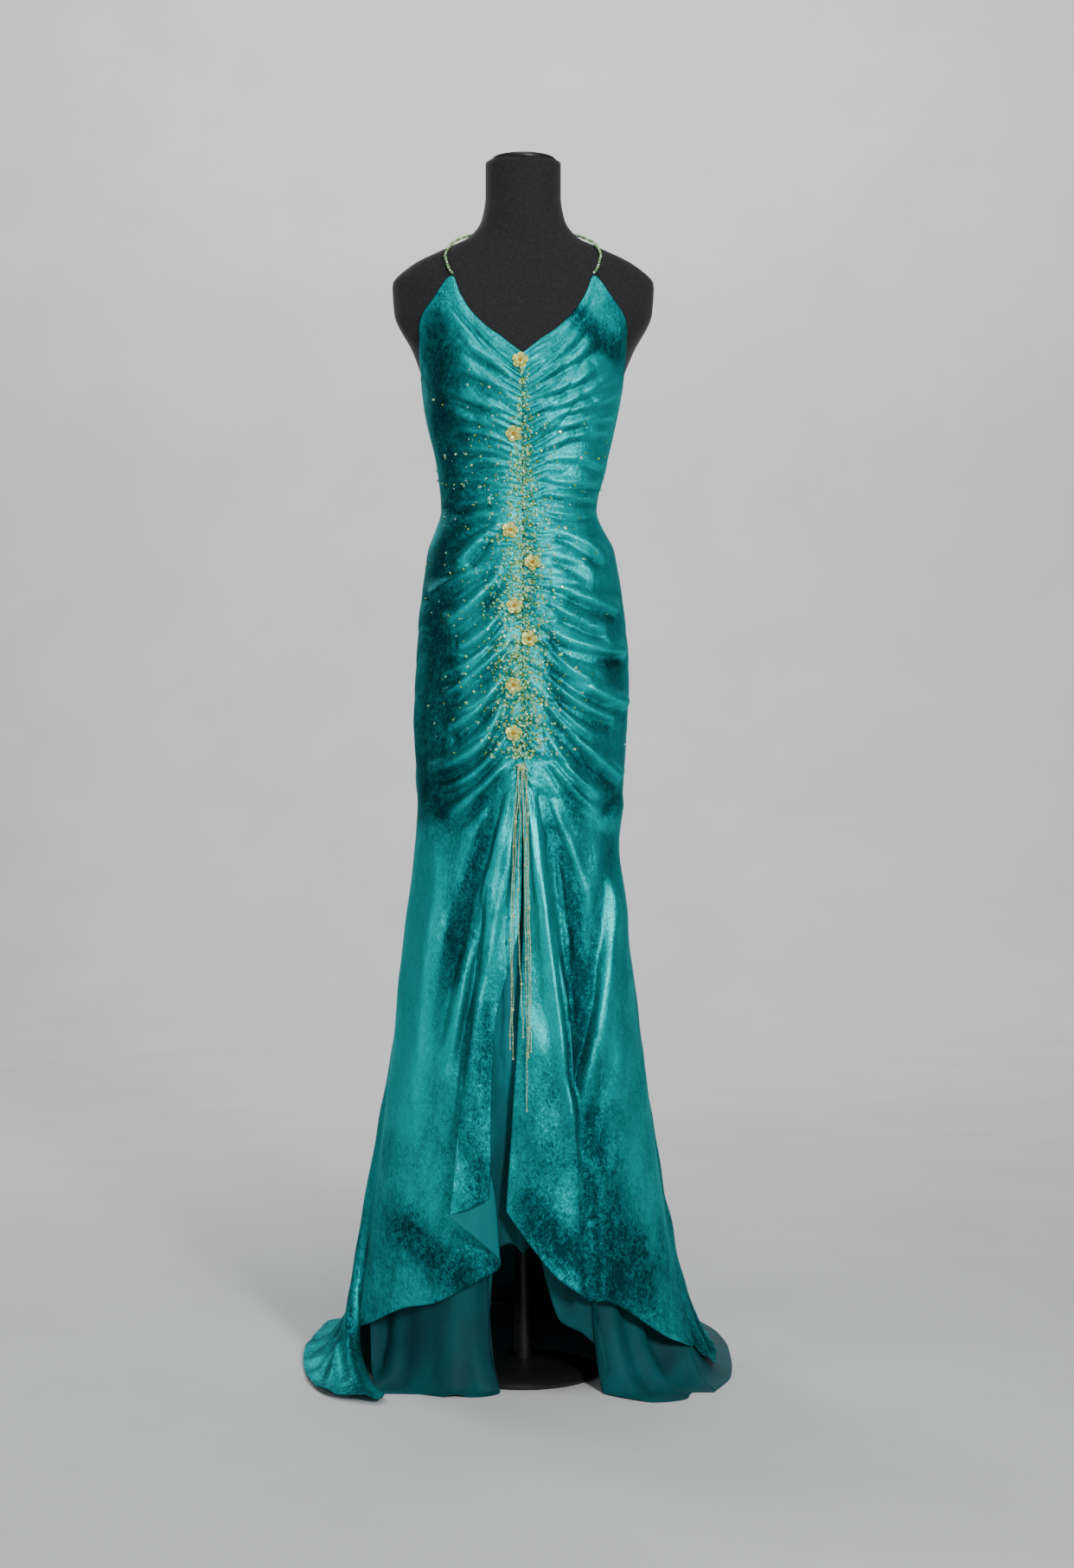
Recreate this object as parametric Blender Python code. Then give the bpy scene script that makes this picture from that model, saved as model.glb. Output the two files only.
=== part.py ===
"""Mermaid prom dress with a train, standing on a limbless dress form.

Metres, +Z up. The floor is z = 0, the form's axis is x = y = 0, and the dress faces -Y.
An angle round the body is 0 at the centre front, positive toward +X and 180 at the centre back.
"""
import math
from collections import namedtuple

import bmesh
import bpy
import numpy as np
from mathutils import Vector
from mathutils.bvhtree import BVHTree

# Driving sizes
SEAM_GAP = 0.0003
VELVET_WALL = 0.0016
LINING_WALL = 0.0010
FORM_CLEARANCE = 0.0020
LINING_INSET = 0.0026
LINING_EASE = 0.0050
ROUNDNESS = 0.90
FLOOR_CLEARANCE = 0.0003

WAIST_HEIGHT = 1.245
GATHER_HEIGHT = 0.8766
HIP_SIDE_HEIGHT = 0.775
THIGH_HEIGHT = 0.680
KNEE_HEIGHT = 0.500
BACK_TOP_HEIGHT = 1.270
SIDE_TOP_HEIGHT = 1.412

FORM_BOTTOM = 0.800
FORM_TOP = 1.746
FORM_SEGMENTS = 26
POLE_RADIUS = 0.0125
POLE_SEGMENTS = 12
ROUND_SEGMENTS = 28

# Heights of the form's rows, stretch by stretch: hips, waist and ribs, bust, shoulder, neck
Stretch = namedtuple("Stretch", "bottom top rows")
FORM_STRETCHES = (
    Stretch(FORM_BOTTOM, 1.080, 8),
    Stretch(1.110, 1.390, 13),
    Stretch(1.405, 1.540, 10),
    Stretch(1.560, 1.650, 7),
    Stretch(1.665, 1.665, 1),
    Stretch(1.700, FORM_TOP, 2),
)

# Turned profiles, from the bottom up; the cap's heights are above the form's top
Turn = namedtuple("Turn", "radius z")
NECK_CAP = (Turn(0.046, 0.0), Turn(0.049, 0.003), Turn(0.047, 0.008))
NECK_CENTRE = (0.0, 0.004)
STAND_BASE = (Turn(0.108, 0.0), Turn(0.108, 0.006), Turn(0.096, 0.012), Turn(0.030, 0.0217))

FLOWER_RADIUS = 0.0118
PETALS = 5
PETAL_DEPTH = 0.20
PETAL_POINTS = 3

# Reach as a share of the flower's radius, and height off the cloth; the second set is its back
Petal = namedtuple("Petal", "reach z")
FLOWER_PROFILE = (Petal(0.80, 0.0), Petal(1.00, 0.0016), Petal(0.36, 0.0013), Petal(0.15, 0.0036))
FLOWER_LOBED = 0.5
FLOWER_REST = (Petal(0.0, 0.0), Petal(0.2, 0.0), Petal(0.4, 0.0), Petal(0.6, 0.0),
               Petal(0.7, 0.0), Petal(0.8, 0.0), Petal(1.0, 0.001))

TASSEL_HEAD = (0.020, 0.005, 0.007)
TASSEL_DROP = 0.004
TASSEL_REST = 0.006
STRAP_RADIUS = 0.0032
STRAP_STANDOFF = 0.0012
STRAP_SIDES = 6
STRAND_RADIUS = 0.0011
STRAND_STANDOFF = 0.0032
STRAND_SIDES = 4
STRAND_SWEEP = 0.05
RAY_START = -1.0
BARE_DEPTH = -0.10

# Half-widths to the left and right of the axis and depths in front of and behind it
Section = namedtuple("Section", "z left right front back")
BODY = (
    Section(0.000, 0.244, 0.226, 0.150, 0.300),
    Section(0.184, 0.232, 0.205, 0.148, 0.240),
    Section(0.334, 0.209, 0.187, 0.140, 0.190),
    Section(0.434, 0.188, 0.171, 0.134, 0.170),
    Section(0.534, 0.179, 0.162, 0.128, 0.156),
    Section(0.634, 0.169, 0.144, 0.121, 0.142),
    Section(0.734, 0.156, 0.133, 0.116, 0.134),
    Section(0.834, 0.149, 0.140, 0.114, 0.136),
    Section(0.934, 0.154, 0.146, 0.114, 0.140),
    Section(1.000, 0.152, 0.149, 0.112, 0.140),
    Section(1.109, 0.144, 0.141, 0.106, 0.122),
    Section(1.184, 0.134, 0.128, 0.098, 0.104),
    Section(1.245, 0.115, 0.103, 0.090, 0.087),
    Section(1.309, 0.122, 0.117, 0.095, 0.089),
    Section(1.384, 0.139, 0.134, 0.113, 0.096),
    Section(1.434, 0.146, 0.144, 0.1185, 0.099),
    Section(1.4725, 0.159, 0.159, 0.1065, 0.096),
    Section(1.530, 0.1865, 0.1865, 0.079, 0.085),
    Section(1.570, 0.1890, 0.1890, 0.062, 0.073),
    Section(1.5975, 0.163, 0.163, 0.053, 0.064),
    Section(1.6225, 0.113, 0.113, 0.048, 0.058),
    Section(1.6375, 0.080, 0.080, 0.047, 0.056),
    Section(1.665, 0.060, 0.060, 0.047, 0.055),
    Section(1.700, 0.0545, 0.0545, 0.046, 0.054),
    Section(1.746, 0.0545, 0.0545, 0.046, 0.054),
)

# Top edge of a front panel, from the V at the centre front, over the strap point, to the side
TopEdge = namedtuple("TopEdge", "station angle z")
TOP_EDGE = (
    TopEdge(0.00, 0.0, 1.4533),
    TopEdge(0.10, 6.9, 1.4735),
    TopEdge(0.20, 14.6, 1.4936),
    TopEdge(0.28, 19.2, 1.5113),
    TopEdge(0.36, 25.2, 1.5450),
    TopEdge(0.46, 29.6, 1.5740),
    TopEdge(0.58, 41.0, 1.5370),
    TopEdge(0.70, 53.0, 1.5050),
    TopEdge(0.80, 65.0, 1.4700),
    TopEdge(0.90, 78.0, 1.4360),
    TopEdge(1.00, 90.0, SIDE_TOP_HEIGHT),
)

# Ruched folds from the V down to the gather point: depth on each side, and how far each reaches
Swag = namedtuple("Swag", "left_depth right_depth reach")
BUST_SWAGS = (
    Swag(0.0020, 0.0020, 0.45),
    Swag(0.0030, 0.0034, 0.55),
    Swag(0.0042, 0.0040, 0.62),
    Swag(0.0040, 0.0046, 0.70),
    Swag(0.0034, 0.0036, 0.85),
    Swag(0.0030, 0.0034, 1.00),
    Swag(0.0028, 0.0030, 1.10),
)
HIP_SWAGS = (
    Swag(0.0032, 0.0032, 1.20),
    Swag(0.0040, 0.0040, 1.20),
    Swag(0.0060, 0.0050, 1.10),
    Swag(0.0074, 0.0062, 1.30),
    Swag(0.0066, 0.0084, 1.40),
    Swag(0.0074, 0.0070, 1.30),
    Swag(0.0080, 0.0084, 1.30),
    Swag(0.0064, 0.0066, 1.05),
    Swag(0.0070, 0.0076, 1.20),
    Swag(0.0056, 0.0062, 1.00),
)
RIDGE_SHARE = 0.62
CENTRE_SHARE = 0.35
CENTRE_WIDTH = 0.10
SWAG_FADE = 0.55
SWAG_BACK_REACH = 0.6

# Front skirt: where each station passes the thigh and knee heights and where its hem ends.
# The first stations are a tongue folded over the next, and each angle is in degrees.
Drape = namedtuple("Drape", "station thigh_angle thigh_out knee_angle knee_out hem_x hem_y hem_z")
LEFT_DRAPE = (
    Drape(0.00, 0.3, 0.006, 9.6, 0.012, -0.0458, -0.150, 0.271),
    Drape(0.10, 6.0, 0.009, 14.5, 0.016, -0.0740, -0.161, 0.263),
    Drape(0.20, 11.9, 0.012, 19.3, 0.016, -0.1003, -0.163, 0.252),
    Drape(0.28, 14.6, 0.006, 17.8, 0.009, -0.0680, -0.147, 0.222),
    Drape(0.36, 17.2, 0.001, 15.8, 0.002, -0.0300, -0.129, 0.182),
    Drape(0.46, 23.5, 0.002, 23.0, 0.003, -0.0640, -0.127, 0.155),
    Drape(0.58, 34.0, 0.004, 33.0, 0.006, -0.1114, -0.123, 0.132),
    Drape(0.70, 46.0, 0.002, 46.0, 0.003, -0.1480, -0.104, 0.119),
    Drape(0.80, 58.0, 0.001, 59.0, 0.001, -0.1800, -0.082, 0.105),
    Drape(0.90, 73.5, 0.001, 74.0, 0.001, -0.2130, -0.050, 0.086),
    Drape(1.00, 90.0, 0.000, 90.0, 0.000, -0.2375, -0.010, 0.064),
)
RIGHT_DRAPE = (
    Drape(0.00, 0.3, 0.006, -1.5, 0.010, -0.0231, -0.150, 0.2614),
    Drape(0.10, 4.5, 0.007, 4.2, 0.013, 0.0110, -0.160, 0.214),
    Drape(0.20, 8.5, 0.010, 12.0, 0.016, 0.0480, -0.160, 0.168),
    Drape(0.28, 12.0, 0.011, 19.6, 0.016, 0.0830, -0.148, 0.139),
    Drape(0.36, 18.4, 0.001, 22.0, 0.003, 0.0800, -0.130, 0.136),
    Drape(0.46, 27.0, 0.000, 28.0, 0.001, 0.1000, -0.125, 0.130),
    Drape(0.58, 43.0, 0.005, 33.5, 0.003, 0.1180, -0.121, 0.126),
    Drape(0.70, 56.0, 0.008, 40.5, 0.009, 0.1350, -0.113, 0.120),
    Drape(0.80, 66.0, 0.002, 55.0, 0.003, 0.1640, -0.089, 0.095),
    Drape(0.90, 78.0, 0.001, 72.0, 0.001, 0.2000, -0.046, 0.062),
    Drape(1.00, 90.0, 0.000, 90.0, 0.000, 0.2244, -0.010, 0.047),
)

# Back skirt, side seam to centre back: where the cloth lands and where its edge lies on the floor
Train = namedtuple("Train", "station land_x land_y hem_x hem_y velvet_end")
LEFT_TRAIN = (
    Train(0.000, -0.250, -0.008, -0.250, -0.010, 1.00),
    Train(0.050, -0.258, 0.008, -0.245, -0.045, 1.00),
    Train(0.125, -0.276, 0.024, -0.208, -0.184, 1.00),
    Train(0.250, -0.266, 0.025, -0.266, -0.150, 1.00),
    Train(0.375, -0.262, 0.065, -0.312, -0.025, 1.00),
    Train(0.500, -0.258, 0.110, -0.326, 0.110, 1.00),
    Train(0.625, -0.230, 0.165, -0.310, 0.270, 1.00),
    Train(0.750, -0.168, 0.212, -0.236, 0.395, 1.00),
    Train(0.875, -0.088, 0.238, -0.122, 0.475, 1.00),
    Train(1.000, 0.000, 0.248, 0.000, 0.505, 1.00),
)
RIGHT_TRAIN = (
    Train(0.000, 0.240, -0.008, 0.268, -0.120, 0.62),
    Train(0.125, 0.238, 0.010, 0.298, -0.030, 0.86),
    Train(0.250, 0.240, 0.040, 0.306, 0.060, 0.84),
    Train(0.375, 0.242, 0.075, 0.308, 0.150, 0.85),
    Train(0.500, 0.236, 0.115, 0.300, 0.240, 0.87),
    Train(0.625, 0.210, 0.168, 0.270, 0.340, 0.89),
    Train(0.750, 0.155, 0.212, 0.206, 0.430, 0.92),
    Train(0.875, 0.082, 0.238, 0.108, 0.488, 0.95),
    Train(1.000, 0.000, 0.248, 0.000, 0.510, 0.97),
)
LAND_SHARE = 0.62
LAND_HEIGHT = 0.140
SIDE_HEM_HEIGHT = {-1: 0.064, 1: 0.047}
TRAIN_RIPPLES = 2.5
TRAIN_RIPPLE_DEPTH = 0.010
RIPPLE_SIDE_FADE = 0.12
RIPPLE_BACK_FADE = 0.10
RIPPLE_START = 0.4
RIPPLE_GROWTH = 1.1
RIPPLE_FLOOR_START = 1.55
RIPPLE_FLOOR_LOSS = 0.55

# Front lining, centre front to side seam: the arch over the opening, then the floor edge
Arch = namedtuple("Arch", "angle hem_x hem_y hem_z")
LEFT_ARCH = (
    Arch(0.0, 0.000, -0.117, 0.194),
    Arch(5.0, -0.018, -0.117, 0.208),
    Arch(10.5, -0.038, -0.116, 0.196),
    Arch(14.0, -0.046, -0.118, 0.100),
    Arch(17.0, -0.032, -0.126, 0.002),
    Arch(26.0, -0.062, -0.148, 0.000),
    Arch(38.0, -0.102, -0.148, 0.000),
    Arch(54.0, -0.147, -0.131, 0.000),
    Arch(72.0, -0.200, -0.126, 0.000),
    Arch(82.0, -0.212, -0.045, 0.012),
    Arch(90.0, -0.230, -0.010, 0.130),
)
RIGHT_ARCH = (
    Arch(0.0, 0.000, -0.117, 0.194),
    Arch(5.5, 0.018, -0.117, 0.205),
    Arch(10.0, 0.034, -0.116, 0.150),
    Arch(15.0, 0.052, -0.116, 0.100),
    Arch(23.0, 0.086, -0.117, 0.078),
    Arch(31.0, 0.118, -0.118, 0.036),
    Arch(37.0, 0.114, -0.129, 0.001),
    Arch(48.0, 0.180, -0.176, 0.000),
    Arch(64.0, 0.226, -0.158, 0.000),
    Arch(82.0, 0.240, -0.120, 0.000),
    Arch(90.0, 0.268, -0.120, 0.000),
)
LINING_FIRST_ROW = 1
LEFT_LINING_SHORT = 4
RIGHT_LINING_EXTRA = 3
EASE_ANGLE = 20.0
LYING_HEIGHT = 0.06
HANGING_HOLD = 0.66
LYING_HOLD = 0.30
HANGING_LAND = 0.33

# Flowers down the ruched seam, the beaded strands of the tassel, and the halter's route
Flower = namedtuple("Flower", "x z turn")
FLOWERS = (
    Flower(-0.0036, 1.4415, 10.0),
    Flower(-0.0127, 1.3420, 35.0),
    Flower(-0.0178, 1.2060, 5.0),
    Flower(0.0139, 1.1610, 50.0),
    Flower(-0.0115, 1.1000, 20.0),
    Flower(0.0091, 1.0530, 0.0),
    Flower(-0.0127, 0.9880, 40.0),
    Flower(-0.0127, 0.9210, 15.0),
)
Strand = namedtuple("Strand", "root_x middle_x end_x end_z")
STRANDS = (
    Strand(-0.0072, -0.0155, -0.0166, 0.484),
    Strand(-0.0046, -0.0128, -0.0140, 0.470),
    Strand(-0.0020, -0.0060, 0.0012, 0.500),
    Strand(0.0006, 0.0040, 0.0064, 0.398),
    Strand(0.0032, 0.0070, 0.0092, 0.472),
    Strand(0.0058, 0.0098, 0.0118, 0.480),
)
STRAND_STEPS = 9
Halter = namedtuple("Halter", "angle z")
HALTER = (
    Halter(29.8, 1.5756),
    Halter(40.0, 1.5980),
    Halter(58.0, 1.6200),
    Halter(90.0, 1.6390),
    Halter(125.0, 1.6500),
    Halter(180.0, 1.6540),
)
HALTER_STEPS = 16
NORMAL_TURN = 0.5
NORMAL_RISE = 0.0005

FRONT_STATIONS = (0.0, 0.05, 0.10, 0.15, 0.20, 0.28, 0.36, 0.44, 0.52, 0.60, 0.68, 0.76, 0.84,
                  0.92, 1.0)
BACK_STATIONS = tuple(row.station for row in LEFT_TRAIN)
THIGH_STEPS = 4
KNEE_STEPS = 3
HEM_STEPS = 11
HIP_CROWDING = 1.9
SWAG_CURVE = 1.8
HIP_LINE_POWER = 1.3
BACK_TOP_STRETCH = 1.05
BACK_TOP_POWER = 0.8
SEAM_PULL = 0.28

SHARP_ANGLE = math.radians(50)
Finish = namedtuple("Finish", "red green blue roughness metallic")
VELVET = Finish(0.000, 0.270, 0.280, 0.42, 0.0)
LINING = Finish(0.000, 0.130, 0.150, 0.75, 0.0)
JERSEY = Finish(0.020, 0.019, 0.022, 0.85, 0.0)
PAINTED_STEEL = Finish(0.015, 0.015, 0.016, 0.45, 0.6)
GOLD = Finish(0.780, 0.560, 0.160, 0.35, 0.4)
GREEN_BEADS = Finish(0.120, 0.330, 0.120, 0.15, 0.0)
SILVER_BEADS = Finish(0.620, 0.620, 0.420, 0.20, 0.3)


def clear_scene():
    """Remove every object that the file starts with."""
    for item in list(bpy.data.objects):
        bpy.data.objects.remove(item, do_unlink=True)


def smooth(xs, ys, x):
    """Monotone cubic curve through the rows (xs, ys), read at x."""
    xs = np.asarray(xs, float)
    ys = np.asarray(ys, float)
    x = np.clip(np.asarray(x, float), xs[0], xs[-1])
    step = np.diff(xs)
    slope = np.diff(ys) / step
    tangent = np.zeros_like(ys)
    tangent[0] = slope[0]
    tangent[-1] = slope[-1]
    same = slope[1:] * slope[:-1] > 0
    before = 2 * step[1:] + step[:-1]
    after = step[1:] + 2 * step[:-1]
    safe_before = np.where(same, slope[:-1], 1.0)
    safe_after = np.where(same, slope[1:], 1.0)
    mean = (before + after) / (before / safe_before + after / safe_after)
    tangent[1:-1] = np.where(same, mean, 0.0)
    row = np.clip(np.searchsorted(xs, x, side="right") - 1, 0, len(step) - 1)
    share = (x - xs[row]) / step[row]
    square = share * share
    cube = square * share
    start = (2 * cube - 3 * square + 1) * ys[row]
    end = (3 * square - 2 * cube) * ys[row + 1]
    leave = (cube - 2 * square + share) * step[row] * tangent[row]
    arrive = (cube - square) * step[row] * tangent[row + 1]
    return start + end + leave + arrive


def column(rows, name):
    """One named column of a table."""
    return [getattr(row, name) for row in rows]


def read(rows, key, name, x):
    """A table's column read at x along its key column."""
    return smooth(column(rows, key), column(rows, name), x)


def ease(x):
    """0 below 0, 1 above 1, and smooth between."""
    x = np.clip(x, 0.0, 1.0)
    return x * x * (3 - 2 * x)


def ring(angle, z, out=0.0):
    """Point of the body at an angle in degrees and a height, moved out level with the floor."""
    angle, z, out = np.broadcast_arrays(np.radians(angle), z, out)
    sine = np.sin(angle)
    cosine = np.cos(angle)
    half = np.where(sine < 0, read(BODY, "z", "left", z), read(BODY, "z", "right", z))
    depth = np.where(cosine > 0, read(BODY, "z", "front", z), read(BODY, "z", "back", z))
    across = np.sign(sine) * np.abs(sine) ** ROUNDNESS
    along = np.sign(cosine) * np.abs(cosine) ** ROUNDNESS
    x = (half + out) * across
    y = -(depth + out) * along
    return np.stack([x, y, z + 0.0], axis=-1)


def swag_rows(swags, side):
    """For each row of a ruched zone below its first: the place down the zone, depth and reach."""
    places = []
    depths = []
    reaches = []
    for number, swag in enumerate(swags):
        depth = swag.left_depth if side < 0 else swag.right_depth
        places += [(number + RIDGE_SHARE) / len(swags), (number + 1) / len(swags)]
        depths += [depth, 0.0]
        reaches += [swag.reach, swag.reach]
    return np.array(places), np.array(depths), np.array(reaches)


def ruched_zones(side):
    """Places down the bust and hip zones, and the depth and reach of each row of both."""
    bust, bust_depth, bust_reach = swag_rows(BUST_SWAGS, side)
    hip, hip_depth, hip_reach = swag_rows(HIP_SWAGS, side)
    bust = np.concatenate([[0.0], bust])
    depth = np.concatenate([[0.0], bust_depth, hip_depth])
    reach = np.concatenate([[1.0], bust_reach, hip_reach])
    return bust, hip, depth, reach


def clearance():
    """Distance of the velvet's middle surface from the body."""
    return FORM_CLEARANCE + VELVET_WALL / 2


def side_path(side, share):
    """Shared side seam below the hip, share 0 at the hip line to 1 at the floor edge."""
    train = LEFT_TRAIN if side < 0 else RIGHT_TRAIN
    return back_path(side, train[0].station, share)


def back_path(side, station, share):
    """Back skirt at a station: down the body to the knee, then out along the floor."""
    train = LEFT_TRAIN if side < 0 else RIGHT_TRAIN
    station, share = np.broadcast_arrays(np.asarray(station, float), share)
    angle = side * (90.0 + 90.0 * station)
    upper = np.clip(share, 0.0, 1.0)[..., None]
    z = HIP_SIDE_HEIGHT + (KNEE_HEIGHT - HIP_SIDE_HEIGHT) * upper[..., 0]
    body = ring(angle, z, clearance())
    knee = ring(angle, np.full(station.shape, KNEE_HEIGHT), clearance())
    floor = np.full(station.shape, FLOOR_CLEARANCE + LINING_WALL + LINING_INSET)
    land = np.stack([read(train, "station", "land_x", station),
                     read(train, "station", "land_y", station), floor], axis=-1)
    hem = np.stack([read(train, "station", "hem_x", station),
                    read(train, "station", "hem_y", station), floor], axis=-1)
    hold = knee + LAND_SHARE * (land - knee)
    hold[..., 2] = LAND_HEIGHT
    t = np.clip(share - 1.0, 0.0, 1.0)[..., None]
    drop = ((1 - t) ** 3 * knee + 3 * (1 - t) ** 2 * t * hold
            + 3 * (1 - t) * t * t * land + t ** 3 * hem)
    return np.where(share[..., None] <= 1.0, body, drop)


def seam_end(side):
    """Share of the side seam's floor stretch at which the velvet's side hem ends."""
    shares = np.linspace(1.0, 2.0, 401)
    heights = side_path(side, shares)[:, 2]
    return float(np.interp(-SIDE_HEM_HEIGHT[side], -heights, shares)) - 1.0


def skirt_shares():
    """Shares of the back path at the rows below the hip line, with the last stretch apart."""
    upper_rows = np.linspace(0.0, 1.0, THIGH_STEPS + KNEE_STEPS + 1)[1:]
    lower_rows = np.linspace(0.0, 1.0, HEM_STEPS + 1)[1:]
    return upper_rows, lower_rows


def front_zone_points(side, stations):
    """Body points of a front panel from its top edge to the hip line, with rows down."""
    bust, hip, _, _ = ruched_zones(side)
    top_angle = read(TOP_EDGE, "station", "angle", stations)
    top_height = read(TOP_EDGE, "station", "z", stations)
    waist_angle = 90.0 * stations
    hip_angle = 90.0 * stations ** HIP_CROWDING
    down = bust[:, None]
    angle = top_angle * (1 - down) + waist_angle * down
    height = top_height * (1 - down) + WAIST_HEIGHT * down
    bust_points = ring(side * angle, height, clearance())
    down = hip[:, None]
    angle = waist_angle * (1 - down) + hip_angle * down
    centre = WAIST_HEIGHT + (GATHER_HEIGHT - WAIST_HEIGHT) * down
    drop = (GATHER_HEIGHT - HIP_SIDE_HEIGHT) * down ** HIP_LINE_POWER
    height = centre - drop * (1 - (1 - stations) ** SWAG_CURVE)
    hip_points = ring(side * angle, height, clearance())
    return np.concatenate([bust_points, hip_points])


def front_skirt_points(side, stations):
    """Points of a front panel below the hip line, through the thigh, the knee and the hem."""
    drape = LEFT_DRAPE if side < 0 else RIGHT_DRAPE
    levels = [0.0, 1.0, 2.0, 3.0]
    hip = ring(side * 90.0 * stations ** HIP_CROWDING,
               GATHER_HEIGHT - (GATHER_HEIGHT - HIP_SIDE_HEIGHT)
               * (1 - (1 - stations) ** SWAG_CURVE), clearance())
    thigh = ring(side * read(drape, "station", "thigh_angle", stations), THIGH_HEIGHT,
                 clearance() + read(drape, "station", "thigh_out", stations))
    knee = ring(side * read(drape, "station", "knee_angle", stations), KNEE_HEIGHT,
                clearance() + read(drape, "station", "knee_out", stations))
    hem = np.stack([read(drape, "station", name, stations)
                    for name in ("hem_x", "hem_y", "hem_z")], axis=-1)
    guide = np.stack([hip, thigh, knee, hem])
    rows = np.concatenate([
        np.linspace(0.0, 1.0, THIGH_STEPS + 1)[1:],
        1.0 + np.linspace(0.0, 1.0, KNEE_STEPS + 1)[1:],
        2.0 + np.linspace(0.0, 1.0, HEM_STEPS + 1)[1:],
    ])
    grid = np.empty((len(rows), len(stations), 3))
    for place in range(len(stations)):
        for axis in range(3):
            grid[:, place, axis] = smooth(levels, guide[:, place, axis], rows)
    upper_rows, lower_rows = skirt_shares()
    shares = np.concatenate([upper_rows, 1.0 + lower_rows * seam_end(side)])
    seam = side_path(side, shares)[:, None, :]
    nearness = ease(1 - (1 - stations) / SEAM_PULL)[None, :, None]
    return grid + (seam - grid[:, -1:]) * nearness


def swag_relief(side, stations):
    """How far each point of the ruched rows stands out."""
    _, _, depth, reach = ruched_zones(side)
    centre = CENTRE_SHARE + (1 - CENTRE_SHARE) * ease(stations / CENTRE_WIDTH)
    full = SWAG_FADE * reach[:, None]
    across = 1 - ease((stations[None, :] - full) / full)
    return depth[:, None] * centre[None, :] * across


def outward(grid, flip):
    """Unit normals of a grid of points, turned out with flip 1 or -1."""
    down = np.gradient(grid, axis=0)
    across = np.gradient(grid, axis=1)
    normal = np.cross(down, across) * flip
    length = np.linalg.norm(normal, axis=-1, keepdims=True)
    return normal / np.maximum(length, 1e-12)


def square_to(direction, grid_column):
    """Unit vectors nearest to a direction that are square to a seam line."""
    tangent = np.gradient(grid_column, axis=0)
    tangent = tangent / np.linalg.norm(tangent, axis=-1, keepdims=True)
    direction = np.asarray(direction, float)
    side_on = direction - tangent * (tangent @ direction)[:, None]
    return side_on / np.linalg.norm(side_on, axis=-1, keepdims=True)


def front_panel_grid(side):
    """Middle surface and normals of a front panel."""
    stations = np.array(FRONT_STATIONS)
    upper = front_zone_points(side, stations)
    grid = np.concatenate([upper, front_skirt_points(side, stations)])
    relief = np.zeros(grid.shape[:2])
    relief[:len(upper)] = swag_relief(side, stations)
    grid = grid + outward(grid, side) * relief[..., None]
    grid[:, 0, 0] += side * SEAM_GAP / 2
    normal = outward(grid, side)
    seam_rows = len(upper) + THIGH_STEPS
    normal[:seam_rows, 0] = square_to((0, -1, 0), grid[:seam_rows, 0])
    return grid, normal


def ripples(side, stations, shares):
    """Standing ripples of the back skirt, none at the seams and deepest near the floor."""
    wave = 0.5 - 0.5 * np.cos(2 * math.pi * TRAIN_RIPPLES * stations)
    seam = ease(stations / RIPPLE_SIDE_FADE) * ease((1 - stations) / RIPPLE_BACK_FADE)
    growth = ease((shares - RIPPLE_START) / RIPPLE_GROWTH)
    near_edge = ease((shares - RIPPLE_FLOOR_START) / (2.0 - RIPPLE_FLOOR_START))
    floor = 1 - RIPPLE_FLOOR_LOSS * near_edge
    return TRAIN_RIPPLE_DEPTH * wave * seam * (growth * floor)[..., None]


def back_skirt_points(side, stations, shares, ends):
    """Points of the back skirt at shares of the path, the floor stretch cut at ends."""
    lower = np.clip(shares[:, None] - 1.0, 0.0, None) * ends[None, :]
    path = np.minimum(shares[:, None], 1.0) + lower
    return back_path(side, np.broadcast_to(stations, path.shape), path)


def velvet_ends(side, stations):
    """Share of the floor stretch that the velvet covers at each station."""
    train = LEFT_TRAIN if side < 0 else RIGHT_TRAIN
    ends = read(train, "station", "velvet_end", stations)
    return np.where(stations <= 0.0, seam_end(side), ends)


def back_panel_grid(side):
    """Middle surface and normals of a back panel, and its first row below the hip line."""
    stations = np.array(BACK_STATIONS)
    bust, hip, _, _ = ruched_zones(side)
    down = bust[:, None]
    sunk = ease(stations * BACK_TOP_STRETCH) ** BACK_TOP_POWER
    top = SIDE_TOP_HEIGHT + (BACK_TOP_HEIGHT - SIDE_TOP_HEIGHT) * sunk
    height = top * (1 - down) + WAIST_HEIGHT * down
    angle = side * (90.0 + 90.0 * stations) + 0.0 * height
    bust_points = ring(angle, height, clearance())
    down = hip[:, None]
    height = WAIST_HEIGHT + (GATHER_HEIGHT - WAIST_HEIGHT) * down
    height = height - (GATHER_HEIGHT - HIP_SIDE_HEIGHT) * down ** HIP_LINE_POWER + 0.0 * stations
    hip_points = ring(side * (90.0 + 90.0 * stations) + 0.0 * height, height, clearance())
    upper_rows, lower_rows = skirt_shares()
    shares = np.concatenate([upper_rows, 1.0 + lower_rows])
    skirt = back_skirt_points(side, stations, shares, velvet_ends(side, stations))
    grid = np.concatenate([bust_points, hip_points, skirt])
    first = len(bust_points) + len(hip_points)
    relief = np.zeros(grid.shape[:2])
    front_edge = swag_relief(side, np.array([1.0]))
    relief[:first] = front_edge * (1 - ease(stations / SWAG_BACK_REACH))[None, :]
    relief[first:] = ripples(side, stations, shares)
    grid = grid + outward(grid, side) * relief[..., None]
    normal = outward(grid, side)
    normal[:, -1] = square_to((0, 1, 0), grid[:, -1])
    return grid, normal, first


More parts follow.
